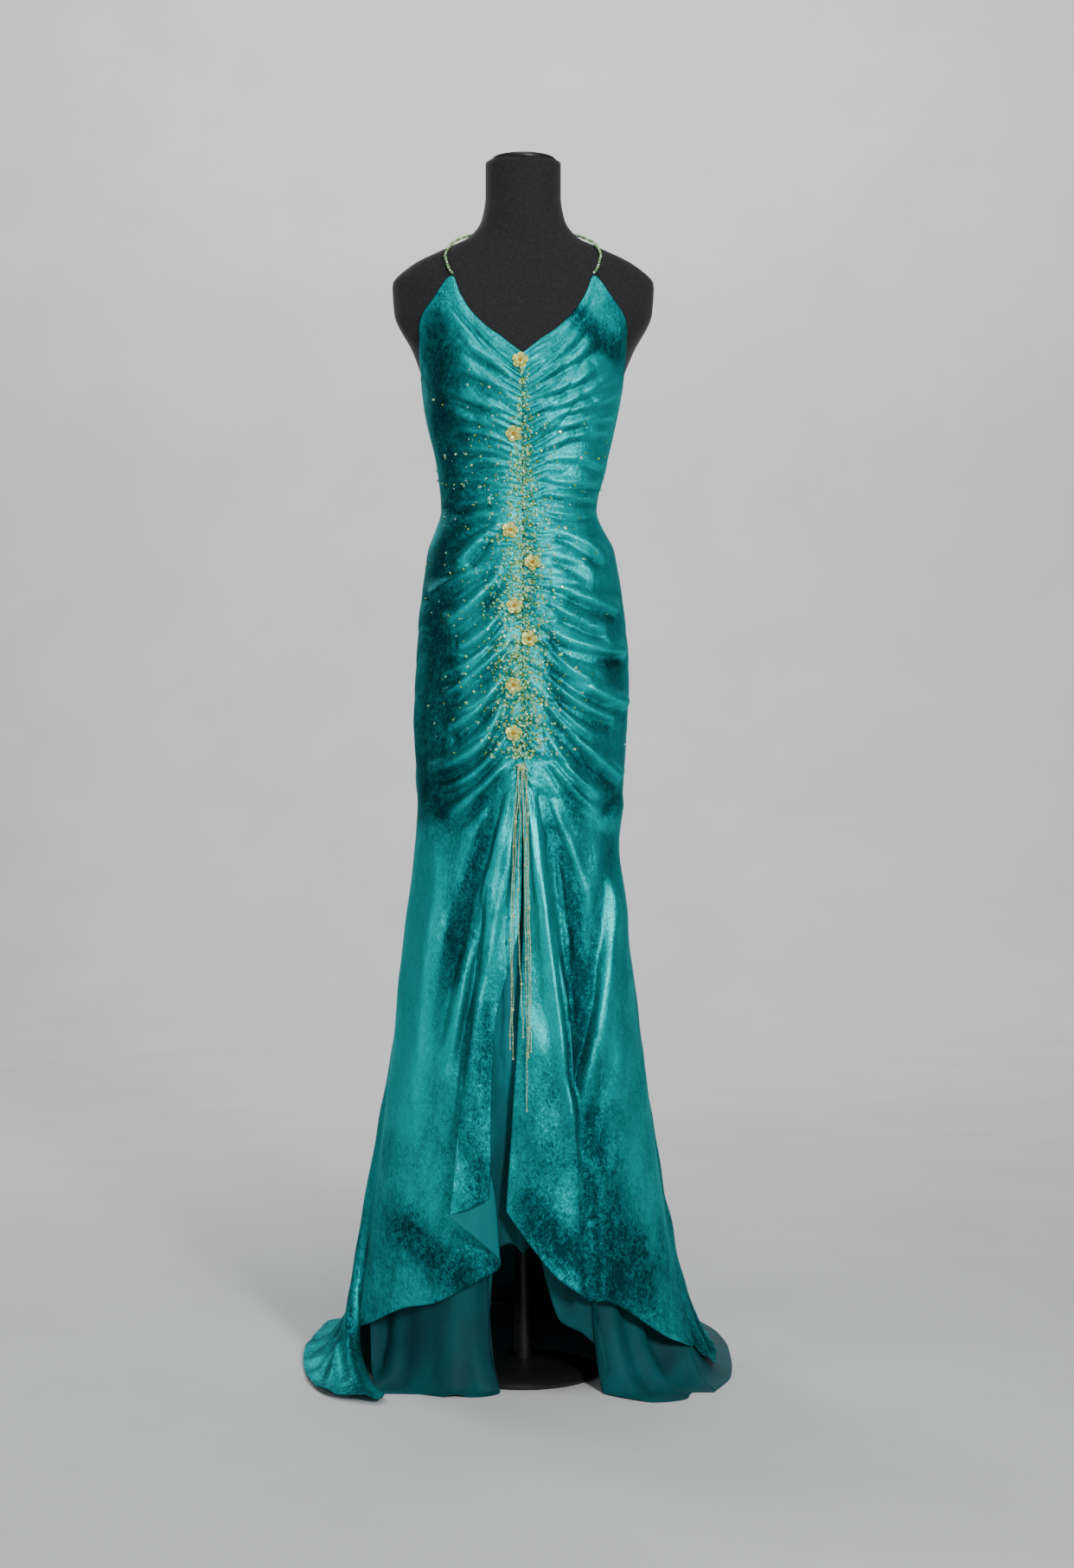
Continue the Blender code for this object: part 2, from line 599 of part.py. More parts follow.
def share_seam(front, front_normal, back, back_normal):
    """Give two grids one normal along their side seam and part them by the seam gap."""
    normal = front_normal[:, -1] + back_normal[:, 0]
    normal /= np.linalg.norm(normal, axis=-1, keepdims=True)
    front_normal[:, -1] = normal
    back_normal[:, 0] = normal
    along = np.gradient(back[:, 0], axis=0)
    along /= np.linalg.norm(along, axis=-1, keepdims=True)
    apart = back[:, 1] - front[:, -2]
    apart -= along * np.sum(apart * along, axis=-1, keepdims=True)
    apart -= normal * np.sum(apart * normal, axis=-1, keepdims=True)
    apart *= SEAM_GAP / 2 / np.linalg.norm(apart, axis=-1, keepdims=True)
    front[:, -1] -= apart
    back[:, 0] += apart


def add_material(name, finish):
    """Principled material with one colour, roughness and metallic value."""
    material = bpy.data.materials.new(name)
    material.use_nodes = True
    shader = material.node_tree.nodes["Principled BSDF"]
    shader.inputs["Base Color"].default_value = (finish.red, finish.green, finish.blue, 1.0)
    shader.inputs["Roughness"].default_value = finish.roughness
    shader.inputs["Metallic"].default_value = finish.metallic
    material.diffuse_color = (finish.red, finish.green, finish.blue, 1.0)
    return material


def add_solid(name, vertices, faces, finish):
    """Closed mesh object with smooth shading and faces turned out."""
    mesh = bpy.data.meshes.new(name)
    mesh.from_pydata([tuple(vertex) for vertex in vertices], [], faces)
    bm = bmesh.new()
    bm.from_mesh(mesh)
    if bm.calc_volume(signed=True) < 0:
        bmesh.ops.reverse_faces(bm, faces=bm.faces)
    bm.to_mesh(mesh)
    bm.free()
    mesh.shade_smooth()
    mesh.set_sharp_from_angle(angle=SHARP_ANGLE)
    solid = bpy.data.objects.new(name, mesh)
    solid.data.materials.append(add_material(name + "_finish", finish))
    bpy.context.scene.collection.objects.link(solid)
    return solid


def add_wall(name, grid, normal, thickness, finish):
    """Wall of even thickness round a middle surface of rows and columns."""
    rows, columns = grid.shape[:2]
    outer = (grid + normal * thickness / 2).reshape(-1, 3)
    inner = (grid - normal * thickness / 2).reshape(-1, 3)
    count = rows * columns
    faces = []
    for row in range(rows - 1):
        for place in range(columns - 1):
            corner = row * columns + place
            after = corner + columns
            for triangle in ((corner, corner + 1, after + 1), (corner, after + 1, after)):
                faces.append(triangle)
                faces.append(tuple(count + index for index in reversed(triangle)))
    rim = list(range(columns))
    rim += [row * columns + columns - 1 for row in range(1, rows)]
    rim += [(rows - 1) * columns + place for place in range(columns - 2, -1, -1)]
    rim += [row * columns for row in range(rows - 2, 0, -1)]
    for start, end in zip(rim, rim[1:] + rim[:1]):
        faces.append((end, start, count + start, count + end))
    return add_solid(name, np.concatenate([outer, inner]), faces, finish)


def add_turned(name, profile, segments, finish, centre=(0.0, 0.0)):
    """Solid of revolution about a vertical line through a profile of (radius, z) rows."""
    turns = np.linspace(0.0, 2 * math.pi, segments, endpoint=False)
    vertices = []
    for radius, z in profile:
        x = centre[0] + radius * np.cos(turns)
        y = centre[1] + radius * np.sin(turns)
        vertices += list(np.stack([x, y, np.full(segments, z)], axis=-1))
    faces = loop_faces(len(profile), segments)
    return add_solid(name, vertices, faces, finish)


def loop_faces(loops, segments):
    """Faces between stacked closed loops, with a cap on the first and the last."""
    faces = []
    for level in range(loops - 1):
        for place in range(segments):
            after = (place + 1) % segments
            faces.append((level * segments + place, level * segments + after,
                          (level + 1) * segments + after, (level + 1) * segments + place))
    faces.append(tuple(range(segments - 1, -1, -1)))
    faces.append(tuple((loops - 1) * segments + place for place in range(segments)))
    return faces


def tube_loops(path, radius, sides):
    """Loops of points round a path, kept from twisting."""
    path = np.asarray(path, float)
    tangent = np.gradient(path, axis=0)
    tangent /= np.linalg.norm(tangent, axis=1, keepdims=True)
    reference = np.array([0.0, 1.0, 0.0])
    loops = []
    for point, along in zip(path, tangent):
        first = reference - along * (reference @ along)
        first /= np.linalg.norm(first)
        second = np.cross(along, first)
        reference = first
        turns = np.linspace(0.0, 2 * math.pi, sides, endpoint=False)
        loops += [point + radius * (math.cos(turn) * first + math.sin(turn) * second)
                  for turn in turns]
    return loops


def add_form():
    """Torso, neck cap, pole and base of the stand."""
    heights = np.concatenate([np.linspace(stretch.bottom, stretch.top, stretch.rows)
                              for stretch in FORM_STRETCHES])
    turns = np.linspace(0.0, 360.0, FORM_SEGMENTS, endpoint=False)
    points = ring(turns[None, :], heights[:, None])
    add_solid("form_torso", points.reshape(-1, 3),
              loop_faces(len(heights), FORM_SEGMENTS), JERSEY)
    cap = [(turn.radius, FORM_TOP + SEAM_GAP + turn.z) for turn in NECK_CAP]
    add_turned("form_neck_cap", cap, ROUND_SEGMENTS, PAINTED_STEEL, NECK_CENTRE)
    pole = [(POLE_RADIUS, STAND_BASE[-1].z + SEAM_GAP), (POLE_RADIUS, FORM_BOTTOM - SEAM_GAP)]
    add_turned("stand_pole", pole, POLE_SEGMENTS, PAINTED_STEEL)
    add_turned("stand_base", STAND_BASE, ROUND_SEGMENTS, PAINTED_STEEL)


def add_velvet():
    """Four velvet panels; returns the front ones and the normals of each side seam."""
    fronts = []
    seams = {}
    for side, word in ((-1, "left"), (1, "right")):
        front, front_normal = front_panel_grid(side)
        back, back_normal, _ = back_panel_grid(side)
        share_seam(front, front_normal, back, back_normal)
        seams[side] = back_normal[:, 0]
        back[:, -1, 0] += side * SEAM_GAP / 2
        fronts.append(add_wall("front_" + word, front, front_normal, VELVET_WALL, VELVET))
        add_wall("back_" + word, back, back_normal, VELVET_WALL, VELVET)
    return fronts, seams


def lining_shares(side):
    """Shares of the back path at the lining's rows, and how many rows go past the velvet."""
    upper_rows, lower_rows = skirt_shares()
    upper = upper_rows[LINING_FIRST_ROW:]
    if side < 0:
        return upper, lower_rows[:-LEFT_LINING_SHORT], 0
    return upper, lower_rows, RIGHT_LINING_EXTRA


def past_velvet(side, stations, extra):
    """Shares of the back path at the rows between the velvet's edge and the floor edge."""
    past = np.linspace(0.0, 1.0, extra + 1)[1:, None]
    ends = velvet_ends(side, stations)
    return 1.0 + ends + (1.0 - ends) * past


def back_lining_grid(side, seam_normal):
    """Middle surface of a back lining, from above the knee to the floor."""
    stations = np.array(BACK_STATIONS)
    velvet, _, first = back_panel_grid(side)
    _, lower_rows, extra = lining_shares(side)
    top = first + LINING_FIRST_ROW
    end = first + THIGH_STEPS + KNEE_STEPS + len(lower_rows)
    grid = velvet[top:end]
    seam_normal = seam_normal[top:end]
    if extra:
        shares = past_velvet(side, stations, extra)
        floor = back_path(side, np.broadcast_to(stations, shares.shape), shares)
        grid = np.concatenate([grid, floor])
        seam_normal = np.concatenate([seam_normal, seam_normal[-1:].repeat(extra, axis=0)])
    normal = outward(grid, side)
    normal[:, 0] = seam_normal
    normal[:, -1] = square_to((0, 1, 0), grid[:, -1])
    return above_floor(grid - normal * LINING_INSET)


def above_floor(grid):
    """The grid with no point so low that its wall would reach the floor."""
    grid = grid.copy()
    grid[..., 2] = np.maximum(grid[..., 2], FLOOR_CLEARANCE + LINING_WALL / 2)
    return grid


def front_lining_grid(side):
    """Middle surface of a front lining, down the body to the knee and on to the arch or floor."""
    arch = LEFT_ARCH if side < 0 else RIGHT_ARCH
    angles = np.array(column(arch, "angle"))
    upper, lower_rows, extra = lining_shares(side)
    inside = clearance() - LINING_INSET - LINING_EASE * ease((90.0 - angles) / EASE_ANGLE)
    z = HIP_SIDE_HEIGHT + (KNEE_HEIGHT - HIP_SIDE_HEIGHT) * upper[:, None]
    body = ring(side * angles + 0.0 * z, z, inside)
    knee = ring(side * angles, KNEE_HEIGHT, inside)
    hem = above_floor(np.stack([column(arch, "hem_x"), column(arch, "hem_y"),
                                column(arch, "hem_z")], axis=-1))
    lies = ease(1.0 - hem[:, 2] / LYING_HEIGHT)
    drop = KNEE_HEIGHT - hem[:, 2]
    hold = knee.copy()
    hold[:, 2] = hem[:, 2] + drop * (HANGING_HOLD * (1 - lies) + LYING_HOLD * lies)
    land = knee * lies[:, None] + (knee + 2 * hem) / 3 * (1 - lies[:, None])
    land[:, 2] = hem[:, 2] + drop * HANGING_LAND * (1 - lies)
    count = len(lower_rows) + extra
    t = np.linspace(0.0, 1.0, count + 1)[1:, None, None]
    curve = ((1 - t) ** 3 * knee + 3 * (1 - t) ** 2 * t * hold
             + 3 * (1 - t) * t * t * land + t ** 3 * hem)
    return above_floor(np.concatenate([body, curve]))


def add_linings(seams):
    """Lining where it shows: both sides of the front opening and the right of the train."""
    for side, word in ((-1, "left"), (1, "right")):
        back = back_lining_grid(side, seams[side])
        front = front_lining_grid(side)
        front[:, -1] = back[:, 0]
        back_normal = outward(back, side)
        back_normal[:, -1] = square_to((0, 1, 0), back[:, -1])
        front_normal = outward(front, side)
        front_normal[:, 0] = square_to((0, -1, 0), front[:, 0])
        share_seam(front, front_normal, back, back_normal)
        front[:, 0, 0] += side * SEAM_GAP / 2
        back[:, -1, 0] += side * SEAM_GAP / 2
        add_wall("lining_front_" + word, front, front_normal, LINING_WALL, LINING)
        if side > 0:
            add_wall("lining_back_" + word, back, back_normal, LINING_WALL, LINING)


def tree_of(solids):
    """Search tree of the faces of some solids."""
    vertices = []
    faces = []
    for solid in solids:
        first = len(vertices)
        vertices += [vertex.co.copy() for vertex in solid.data.vertices]
        faces += [[first + index for index in face.vertices] for face in solid.data.polygons]
    return BVHTree.FromPolygons(vertices, faces)


def front_depth(tree, x, z):
    """How far forward the cloth reaches at a place on the front, as a y value."""
    hit = tree.ray_cast(Vector((x, RAY_START, z)), Vector((0.0, 1.0, 0.0)))
    return hit[0].y if hit[0] else BARE_DEPTH


def add_flowers(tree):
    """Gold flowers, each set just off the highest cloth beneath it and square to the seam."""
    turns = np.linspace(0.0, 2 * math.pi, PETALS * PETAL_POINTS, endpoint=False)
    lobes = 1.0 - PETAL_DEPTH * (1 - np.cos(PETALS * turns))
    for number, flower in enumerate(FLOWERS):
        up = front_depth(tree, flower.x, flower.z + FLOWER_RADIUS)
        low = front_depth(tree, flower.x, flower.z - FLOWER_RADIUS)
        tilt = math.atan2(low - up, 2 * FLOWER_RADIUS)
        upright = np.array([0.0, math.sin(-tilt), math.cos(tilt)])
        across = np.array([1.0, 0.0, 0.0])
        facing = np.cross(across, upright)
        base = np.array([flower.x, front_depth(tree, flower.x, flower.z), flower.z])
        spin = turns + math.radians(flower.turn)
        highest = -math.inf
        for reach, height in FLOWER_REST:
            for turn, lobe in zip(spin, lobes):
                spot = base + FLOWER_RADIUS * reach * lobe * (
                    math.cos(turn) * across + math.sin(turn) * upright)
                spot[1] = front_depth(tree, spot[0], spot[2])
                highest = max(highest, float((spot - base) @ facing) - height)
        base = base + facing * (highest + SEAM_GAP)
        vertices = []
        for scale, height in FLOWER_PROFILE:
            radius = FLOWER_RADIUS * scale * np.where(scale > FLOWER_LOBED, lobes, 1.0)
            vertices += list(base + (radius * np.cos(spin))[:, None] * across
                             + (radius * np.sin(spin))[:, None] * upright + facing * height)
        add_solid("flower_%d" % (number + 1), vertices,
                  loop_faces(len(FLOWER_PROFILE), len(turns)), GOLD)


def add_tassel(tree):
    """Beaded strands that hang from one small head at the end of the ruched seam."""
    width, depth, height = TASSEL_HEAD
    columns = np.linspace(-STRAND_SWEEP, STRAND_SWEEP, 21)
    top = GATHER_HEIGHT - TASSEL_DROP
    reach = min(front_depth(tree, x, z) for x in np.linspace(-0.75 * width, 0.75 * width, 7)
                for z in np.linspace(top - TASSEL_REST, top + TASSEL_REST, 7))
    head_y = reach - depth / 2 - SEAM_GAP
    cutters = []
    for number, strand in enumerate(STRANDS):
        heights = np.linspace(top, strand.end_z, STRAND_STEPS)
        share = np.linspace(0.0, 1.0, STRAND_STEPS)
        xs = smooth([0.0, 0.5, 1.0], [strand.root_x, strand.middle_x, strand.end_x], share)
        forward = head_y
        path = []
        for x, z in zip(xs, heights):
            cloth = min(front_depth(tree, across, z) for across in columns)
            forward = min(forward, cloth - STRAND_STANDOFF)
            path.append((x, forward, z))
        tube = add_solid("strand_%d" % (number + 1),
                         tube_loops(path, STRAND_RADIUS, STRAND_SIDES),
                         loop_faces(STRAND_STEPS, STRAND_SIDES), SILVER_BEADS)
        tube.hide_render = True
        tube.display_type = "WIRE"
        cutters.append(tube)
    corners = [(-width / 2, -depth / 2), (width / 2, -depth / 2),
               (width / 2, depth / 2), (-width / 2, depth / 2)]
    vertices = [(x, head_y + y, top + z) for z in (-height / 2, height / 2) for x, y in corners]
    head = add_solid("bead_tassel", vertices, loop_faces(2, len(corners)), SILVER_BEADS)
    for tube in cutters:
        union = head.modifiers.new("join_" + tube.name, "BOOLEAN")
        union.operation = "UNION"
        union.solver = "EXACT"
        union.object = tube


def form_normal(angle, z):
    """Unit normal of the bare form."""
    turn = ring(angle + NORMAL_TURN, z) - ring(angle - NORMAL_TURN, z)
    rise = ring(angle, z + NORMAL_RISE) - ring(angle, z - NORMAL_RISE)
    normal = np.cross(turn, rise)
    return normal / np.linalg.norm(normal, axis=-1, keepdims=True)


def add_halter():
    """Beaded strand from one strap point, behind the neck, to the other."""
    share = np.linspace(0.0, 1.0, HALTER_STEPS + 1)
    angle = HALTER[0].angle + (180.0 - HALTER[0].angle) * share
    angle = np.concatenate([-angle, angle[-2::-1]])
    z = read(HALTER, "angle", "z", np.abs(angle))
    path = ring(angle, z) + form_normal(angle, z) * (STRAP_RADIUS + STRAP_STANDOFF)
    add_solid("halter_strand", tube_loops(path, STRAP_RADIUS, STRAP_SIDES),
              loop_faces(len(path), STRAP_SIDES), GREEN_BEADS)


clear_scene()
add_form()
velvet_fronts, side_seams = add_velvet()
add_linings(side_seams)
front_tree = tree_of(velvet_fronts)
add_flowers(front_tree)
add_tassel(front_tree)
add_halter()
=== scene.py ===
"""Looks of a mermaid prom dress on a dress form: velvet, lining, beadwork, form and stand.

Metres, +Z up, floor at z = 0, form's axis at x = y = 0. The dress faces -Y. An angle round the
body is 0 at the centre front, positive toward +X and 180 at the centre back. A station runs
across a panel from 0 to 1, and every surface is worked out on a grid of rows and stations.
"""

import logging
import math
from dataclasses import dataclass
from enum import Enum
from typing import NamedTuple

import bpy
import numpy as np
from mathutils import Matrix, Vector
from mathutils.bvhtree import BVHTree


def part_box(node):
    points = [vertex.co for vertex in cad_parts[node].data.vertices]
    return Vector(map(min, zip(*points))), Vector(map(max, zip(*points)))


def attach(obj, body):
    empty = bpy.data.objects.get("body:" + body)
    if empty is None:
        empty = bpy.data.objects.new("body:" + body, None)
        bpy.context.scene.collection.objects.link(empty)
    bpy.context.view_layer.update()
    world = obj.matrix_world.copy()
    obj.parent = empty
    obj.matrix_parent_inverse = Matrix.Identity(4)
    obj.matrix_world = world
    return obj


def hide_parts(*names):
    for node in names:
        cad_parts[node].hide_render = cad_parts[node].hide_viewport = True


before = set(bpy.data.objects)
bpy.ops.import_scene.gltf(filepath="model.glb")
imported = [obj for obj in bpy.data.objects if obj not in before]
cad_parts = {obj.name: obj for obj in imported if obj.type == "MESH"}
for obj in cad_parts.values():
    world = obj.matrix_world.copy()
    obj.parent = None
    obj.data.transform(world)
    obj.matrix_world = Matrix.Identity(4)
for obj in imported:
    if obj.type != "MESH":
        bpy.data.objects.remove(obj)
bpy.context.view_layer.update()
LOG = logging.getLogger("dress")
Array = np.ndarray
Node = bpy.types.Node
Solid = bpy.types.Object
Socket = bpy.types.NodeSocket
Material = bpy.types.Material

# Gaps between surfaces
SEAM_GAP = 0.0003
FORM_CLEARANCE = 0.0028
LINING_INSET = 0.0026
LINING_EASE = 0.0050
FLOOR_CLEARANCE = 0.0010

# Heights above the floor
WAIST_HEIGHT = 1.245
GATHER_HEIGHT = 0.8766
HIP_SIDE_HEIGHT = 0.775
THIGH_HEIGHT = 0.680
KNEE_HEIGHT = 0.500
BACK_TOP_HEIGHT = 1.270
SIDE_TOP_HEIGHT = 1.412
FORM_BOTTOM = 0.800
LAND_HEIGHT = 0.140
TRAIN_FLOOR = 0.0039

# Power of the sine and cosine in the body's sections, 1 for an ellipse
ROUNDNESS = 0.90

# Radius at the ends of turned shapes, too small to see
AXIS_RADIUS = 0.001


class Side(Enum):
    """Side of the dress as seen from the front; the value is the sign of x."""

    LEFT = -1
    RIGHT = 1


class Section(NamedTuple):
    """Half-widths left and right of the axis, and depths before and behind it, at a height."""

    z: float
    left: float
    right: float
    front: float
    back: float


BODY = (
    Section(0.000, 0.244, 0.226, 0.150, 0.300),
    Section(0.184, 0.232, 0.205, 0.148, 0.240),
    Section(0.334, 0.209, 0.187, 0.140, 0.190),
    Section(0.434, 0.188, 0.171, 0.134, 0.170),
    Section(0.534, 0.179, 0.162, 0.128, 0.156),
    Section(0.634, 0.169, 0.144, 0.121, 0.142),
    Section(0.734, 0.156, 0.133, 0.116, 0.134),
    Section(0.834, 0.149, 0.140, 0.114, 0.136),
    Section(0.934, 0.154, 0.146, 0.114, 0.140),
    Section(1.000, 0.152, 0.149, 0.112, 0.140),
    Section(1.109, 0.144, 0.141, 0.106, 0.122),
    Section(1.184, 0.134, 0.128, 0.098, 0.104),
    Section(1.245, 0.115, 0.103, 0.090, 0.087),
    Section(1.309, 0.122, 0.117, 0.095, 0.089),
    Section(1.384, 0.139, 0.134, 0.113, 0.096),
    Section(1.434, 0.146, 0.144, 0.1185, 0.099),
    Section(1.4725, 0.159, 0.159, 0.1065, 0.096),
    Section(1.530, 0.1865, 0.1865, 0.079, 0.085),
    Section(1.570, 0.1890, 0.1890, 0.062, 0.073),
    Section(1.5975, 0.163, 0.163, 0.053, 0.064),
    Section(1.6225, 0.113, 0.113, 0.048, 0.058),
    Section(1.6375, 0.080, 0.080, 0.047, 0.056),
    Section(1.665, 0.060, 0.060, 0.047, 0.055),
    Section(1.700, 0.0545, 0.0545, 0.046, 0.054),
    Section(1.746, 0.0545, 0.0545, 0.046, 0.054),
)


class TopEdge(NamedTuple):
    """Top edge of a front panel, from the V over the strap point to the side."""

    station: float
    angle: float
    z: float


TOP_EDGE = (
    TopEdge(0.00, 0.0, 1.4533),
    TopEdge(0.10, 6.9, 1.4735),
    TopEdge(0.20, 14.6, 1.4936),
    TopEdge(0.28, 19.2, 1.5113),
    TopEdge(0.36, 25.2, 1.5450),
    TopEdge(0.46, 29.6, 1.5740),
    TopEdge(0.58, 41.0, 1.5370),
    TopEdge(0.70, 53.0, 1.5050),
    TopEdge(0.80, 65.0, 1.4700),
    TopEdge(0.90, 78.0, 1.4360),
    TopEdge(1.00, 90.0, SIDE_TOP_HEIGHT),
)


class Swag(NamedTuple):
    """Depth of one ruched fold on each side of the seam, and how far it reaches."""

    left_depth: float
    right_depth: float
    reach: float


BUST_SWAGS = (
    Swag(0.0020, 0.0020, 0.45),
    Swag(0.0030, 0.0034, 0.55),
    Swag(0.0042, 0.0040, 0.62),
    Swag(0.0040, 0.0046, 0.70),
    Swag(0.0034, 0.0036, 0.85),
    Swag(0.0030, 0.0034, 1.00),
    Swag(0.0028, 0.0030, 1.10),
)
HIP_SWAGS = (
    Swag(0.0032, 0.0032, 1.20),
    Swag(0.0040, 0.0040, 1.20),
    Swag(0.0060, 0.0050, 1.10),
    Swag(0.0074, 0.0062, 1.30),
    Swag(0.0066, 0.0084, 1.40),
    Swag(0.0074, 0.0070, 1.30),
    Swag(0.0080, 0.0084, 1.30),
    Swag(0.0064, 0.0066, 1.05),
    Swag(0.0070, 0.0076, 1.20),
    Swag(0.0056, 0.0062, 1.00),
)

# Ruched folds and fine gathers of the front
RIDGE_SHARE = 0.62
CREST_POWER = 0.66
CENTRE_SHARE = 0.35
SWAG_GAIN = 0.62
SWAG_CURVE = 1.8
SIDE_CALM = 0.72
HIP_CROWDING = 1.9
HIP_DROOP_POWER = 1.3
GATHER_REACH = 0.20
GATHER_DEPTH = 0.0013
BUST_GATHERS = 21
HIP_GATHERS = 34

# Listed folds, and how deep the cloth may sink on the form, off it and at the back
FOLD_GAIN = 1.22
FOLD_TROUGH = 0.6
LONG_TIP = 0.27
ON_FORM_TROUGH = 0.0012
FREE_TROUGH = 0.0042
BACK_TROUGH = 0.0010

# Soft relief: on the form, added where the cloth hangs free, at the back, and ripples of hems
FORM_RELIEF = 0.0005
LOOSE_RELIEF = 0.0006
BACK_RELIEF = 0.0008
BACK_SAG = 0.0022
HEM_RIPPLE_UP = 0.0026
HEM_RIPPLE_OUT = 0.0030
LINING_FLARE = 0.004

# Columns of the front that crowd toward the centre, and the stations that they cover
CROWDED_COLUMNS = 0.52
CROWDED_STATIONS = 0.38

# Lean of the pile, with painted highlights on folds and painted shade in grooves and seams
MOST_NAP_AND_PAINTED_LIGHT = 1.8
STREAK_LEAN = 0.32
FOLD_PAINTED_LIGHT = 110.0
GROOVE_SHADE = 1.5
HOOK_PAINTED_HIGHLIGHT = 0.95
SEAM_SHADE = 0.8

# Painted shade on the back's pile: dark stripes, in over FAN_FADE below the height FAN_TOP
FAN_TOP = 0.200
FAN_FADE = 0.160
STRIPE_PAINTED_SHADE = 0.75
TRAIN_SHADE = 0.85

# Pleats of the train on the floor
FLOOR_PLEATS = 11
PLEAT_LIFT = 0.009


class Drape(NamedTuple):
    """Where a station of the front skirt passes the thigh and the knee, and its hem point."""

    station: float
    thigh_angle: float
    thigh_out: float
    knee_angle: float
    knee_out: float
    hem_x: float
    hem_y: float
    hem_z: float


LEFT_DRAPE = (
    Drape(0.00, 0.3, 0.006, 9.6, 0.012, -0.0458, -0.150, 0.271),
    Drape(0.10, 6.0, 0.009, 14.5, 0.016, -0.0740, -0.161, 0.263),
    Drape(0.20, 11.9, 0.012, 19.3, 0.016, -0.1003, -0.163, 0.252),
    Drape(0.28, 14.6, 0.006, 17.8, 0.009, -0.0680, -0.147, 0.222),
    Drape(0.36, 17.2, 0.001, 15.8, 0.002, -0.0300, -0.129, 0.182),
    Drape(0.46, 23.5, 0.002, 23.0, 0.003, -0.0640, -0.127, 0.155),
    Drape(0.58, 34.0, 0.004, 33.0, 0.006, -0.1114, -0.123, 0.132),
    Drape(0.70, 46.0, 0.002, 46.0, 0.003, -0.1480, -0.104, 0.119),
    Drape(0.80, 58.0, 0.001, 59.0, 0.001, -0.1800, -0.082, 0.105),
    Drape(0.90, 73.5, 0.001, 74.0, 0.001, -0.2130, -0.050, 0.086),
    Drape(1.00, 90.0, 0.000, 90.0, 0.000, -0.2375, -0.010, 0.064),
)
RIGHT_DRAPE = (
    Drape(0.00, 0.3, 0.006, -1.5, 0.010, -0.0231, -0.150, 0.2614),
    Drape(0.10, 4.5, 0.007, 4.2, 0.013, 0.0110, -0.160, 0.214),
    Drape(0.20, 8.5, 0.010, 12.0, 0.016, 0.0480, -0.160, 0.168),
    Drape(0.28, 12.0, 0.011, 19.6, 0.016, 0.0830, -0.148, 0.139),
    Drape(0.36, 18.4, 0.001, 22.0, 0.003, 0.0800, -0.130, 0.136),
    Drape(0.46, 27.0, 0.000, 28.0, 0.001, 0.1000, -0.125, 0.130),
    Drape(0.58, 43.0, 0.005, 33.5, 0.003, 0.1180, -0.121, 0.126),
    Drape(0.70, 56.0, 0.008, 40.5, 0.009, 0.1350, -0.113, 0.120),
    Drape(0.80, 66.0, 0.002, 55.0, 0.003, 0.1640, -0.089, 0.095),
    Drape(0.90, 78.0, 0.001, 72.0, 0.001, 0.2000, -0.046, 0.062),
    Drape(1.00, 90.0, 0.000, 90.0, 0.000, 0.2244, -0.010, 0.047),
)


class Train(NamedTuple):
    """Where a station of the back skirt lands, where its edge lies, and how far cloth goes."""

    station: float
    land_x: float
    land_y: float
    hem_x: float
    hem_y: float
    velvet_end: float
    lining_end: float


LEFT_TRAIN = (
    Train(0.000, -0.250, -0.008, -0.250, -0.010, 1.00, 0.97),
    Train(0.050, -0.258, 0.008, -0.232, -0.066, 1.00, 0.95),
    Train(0.105, -0.273, 0.021, -0.190, -0.158, 1.00, 0.95),
    Train(0.150, -0.277, 0.025, -0.198, -0.186, 1.00, 0.95),
    Train(0.250, -0.266, 0.025, -0.266, -0.150, 1.00, 0.95),
    Train(0.375, -0.262, 0.065, -0.312, -0.025, 1.00, 0.95),
    Train(0.500, -0.258, 0.110, -0.326, 0.110, 1.00, 0.95),
    Train(0.625, -0.230, 0.165, -0.310, 0.270, 1.00, 0.96),
    Train(0.750, -0.168, 0.212, -0.236, 0.395, 1.00, 0.97),
    Train(0.875, -0.088, 0.238, -0.122, 0.475, 1.00, 0.97),
    Train(1.000, 0.000, 0.248, 0.000, 0.505, 1.00, 0.97),
)
RIGHT_TRAIN = (
    Train(0.000, 0.240, -0.008, 0.268, -0.120, 0.62, 1.00),
    Train(0.125, 0.238, 0.010, 0.298, -0.030, 0.86, 1.00),
    Train(0.250, 0.240, 0.040, 0.306, 0.060, 0.84, 1.00),
    Train(0.375, 0.242, 0.075, 0.308, 0.150, 0.85, 1.00),
    Train(0.500, 0.236, 0.115, 0.300, 0.240, 0.87, 1.00),
    Train(0.625, 0.210, 0.168, 0.270, 0.340, 0.89, 1.00),
    Train(0.750, 0.155, 0.212, 0.206, 0.430, 0.92, 1.00),
    Train(0.875, 0.082, 0.238, 0.108, 0.488, 0.95, 1.00),
    Train(1.000, 0.000, 0.248, 0.000, 0.510, 0.97, 1.00),
)
LAND_SHARE = 0.62
TRAIN_RIPPLES = 2.5
TRAIN_RIPPLE_DEPTH = 0.010


class Arch(NamedTuple):
    """Hem point of the front lining at an angle round the body."""

    angle: float
    hem_x: float
    hem_y: float
    hem_z: float


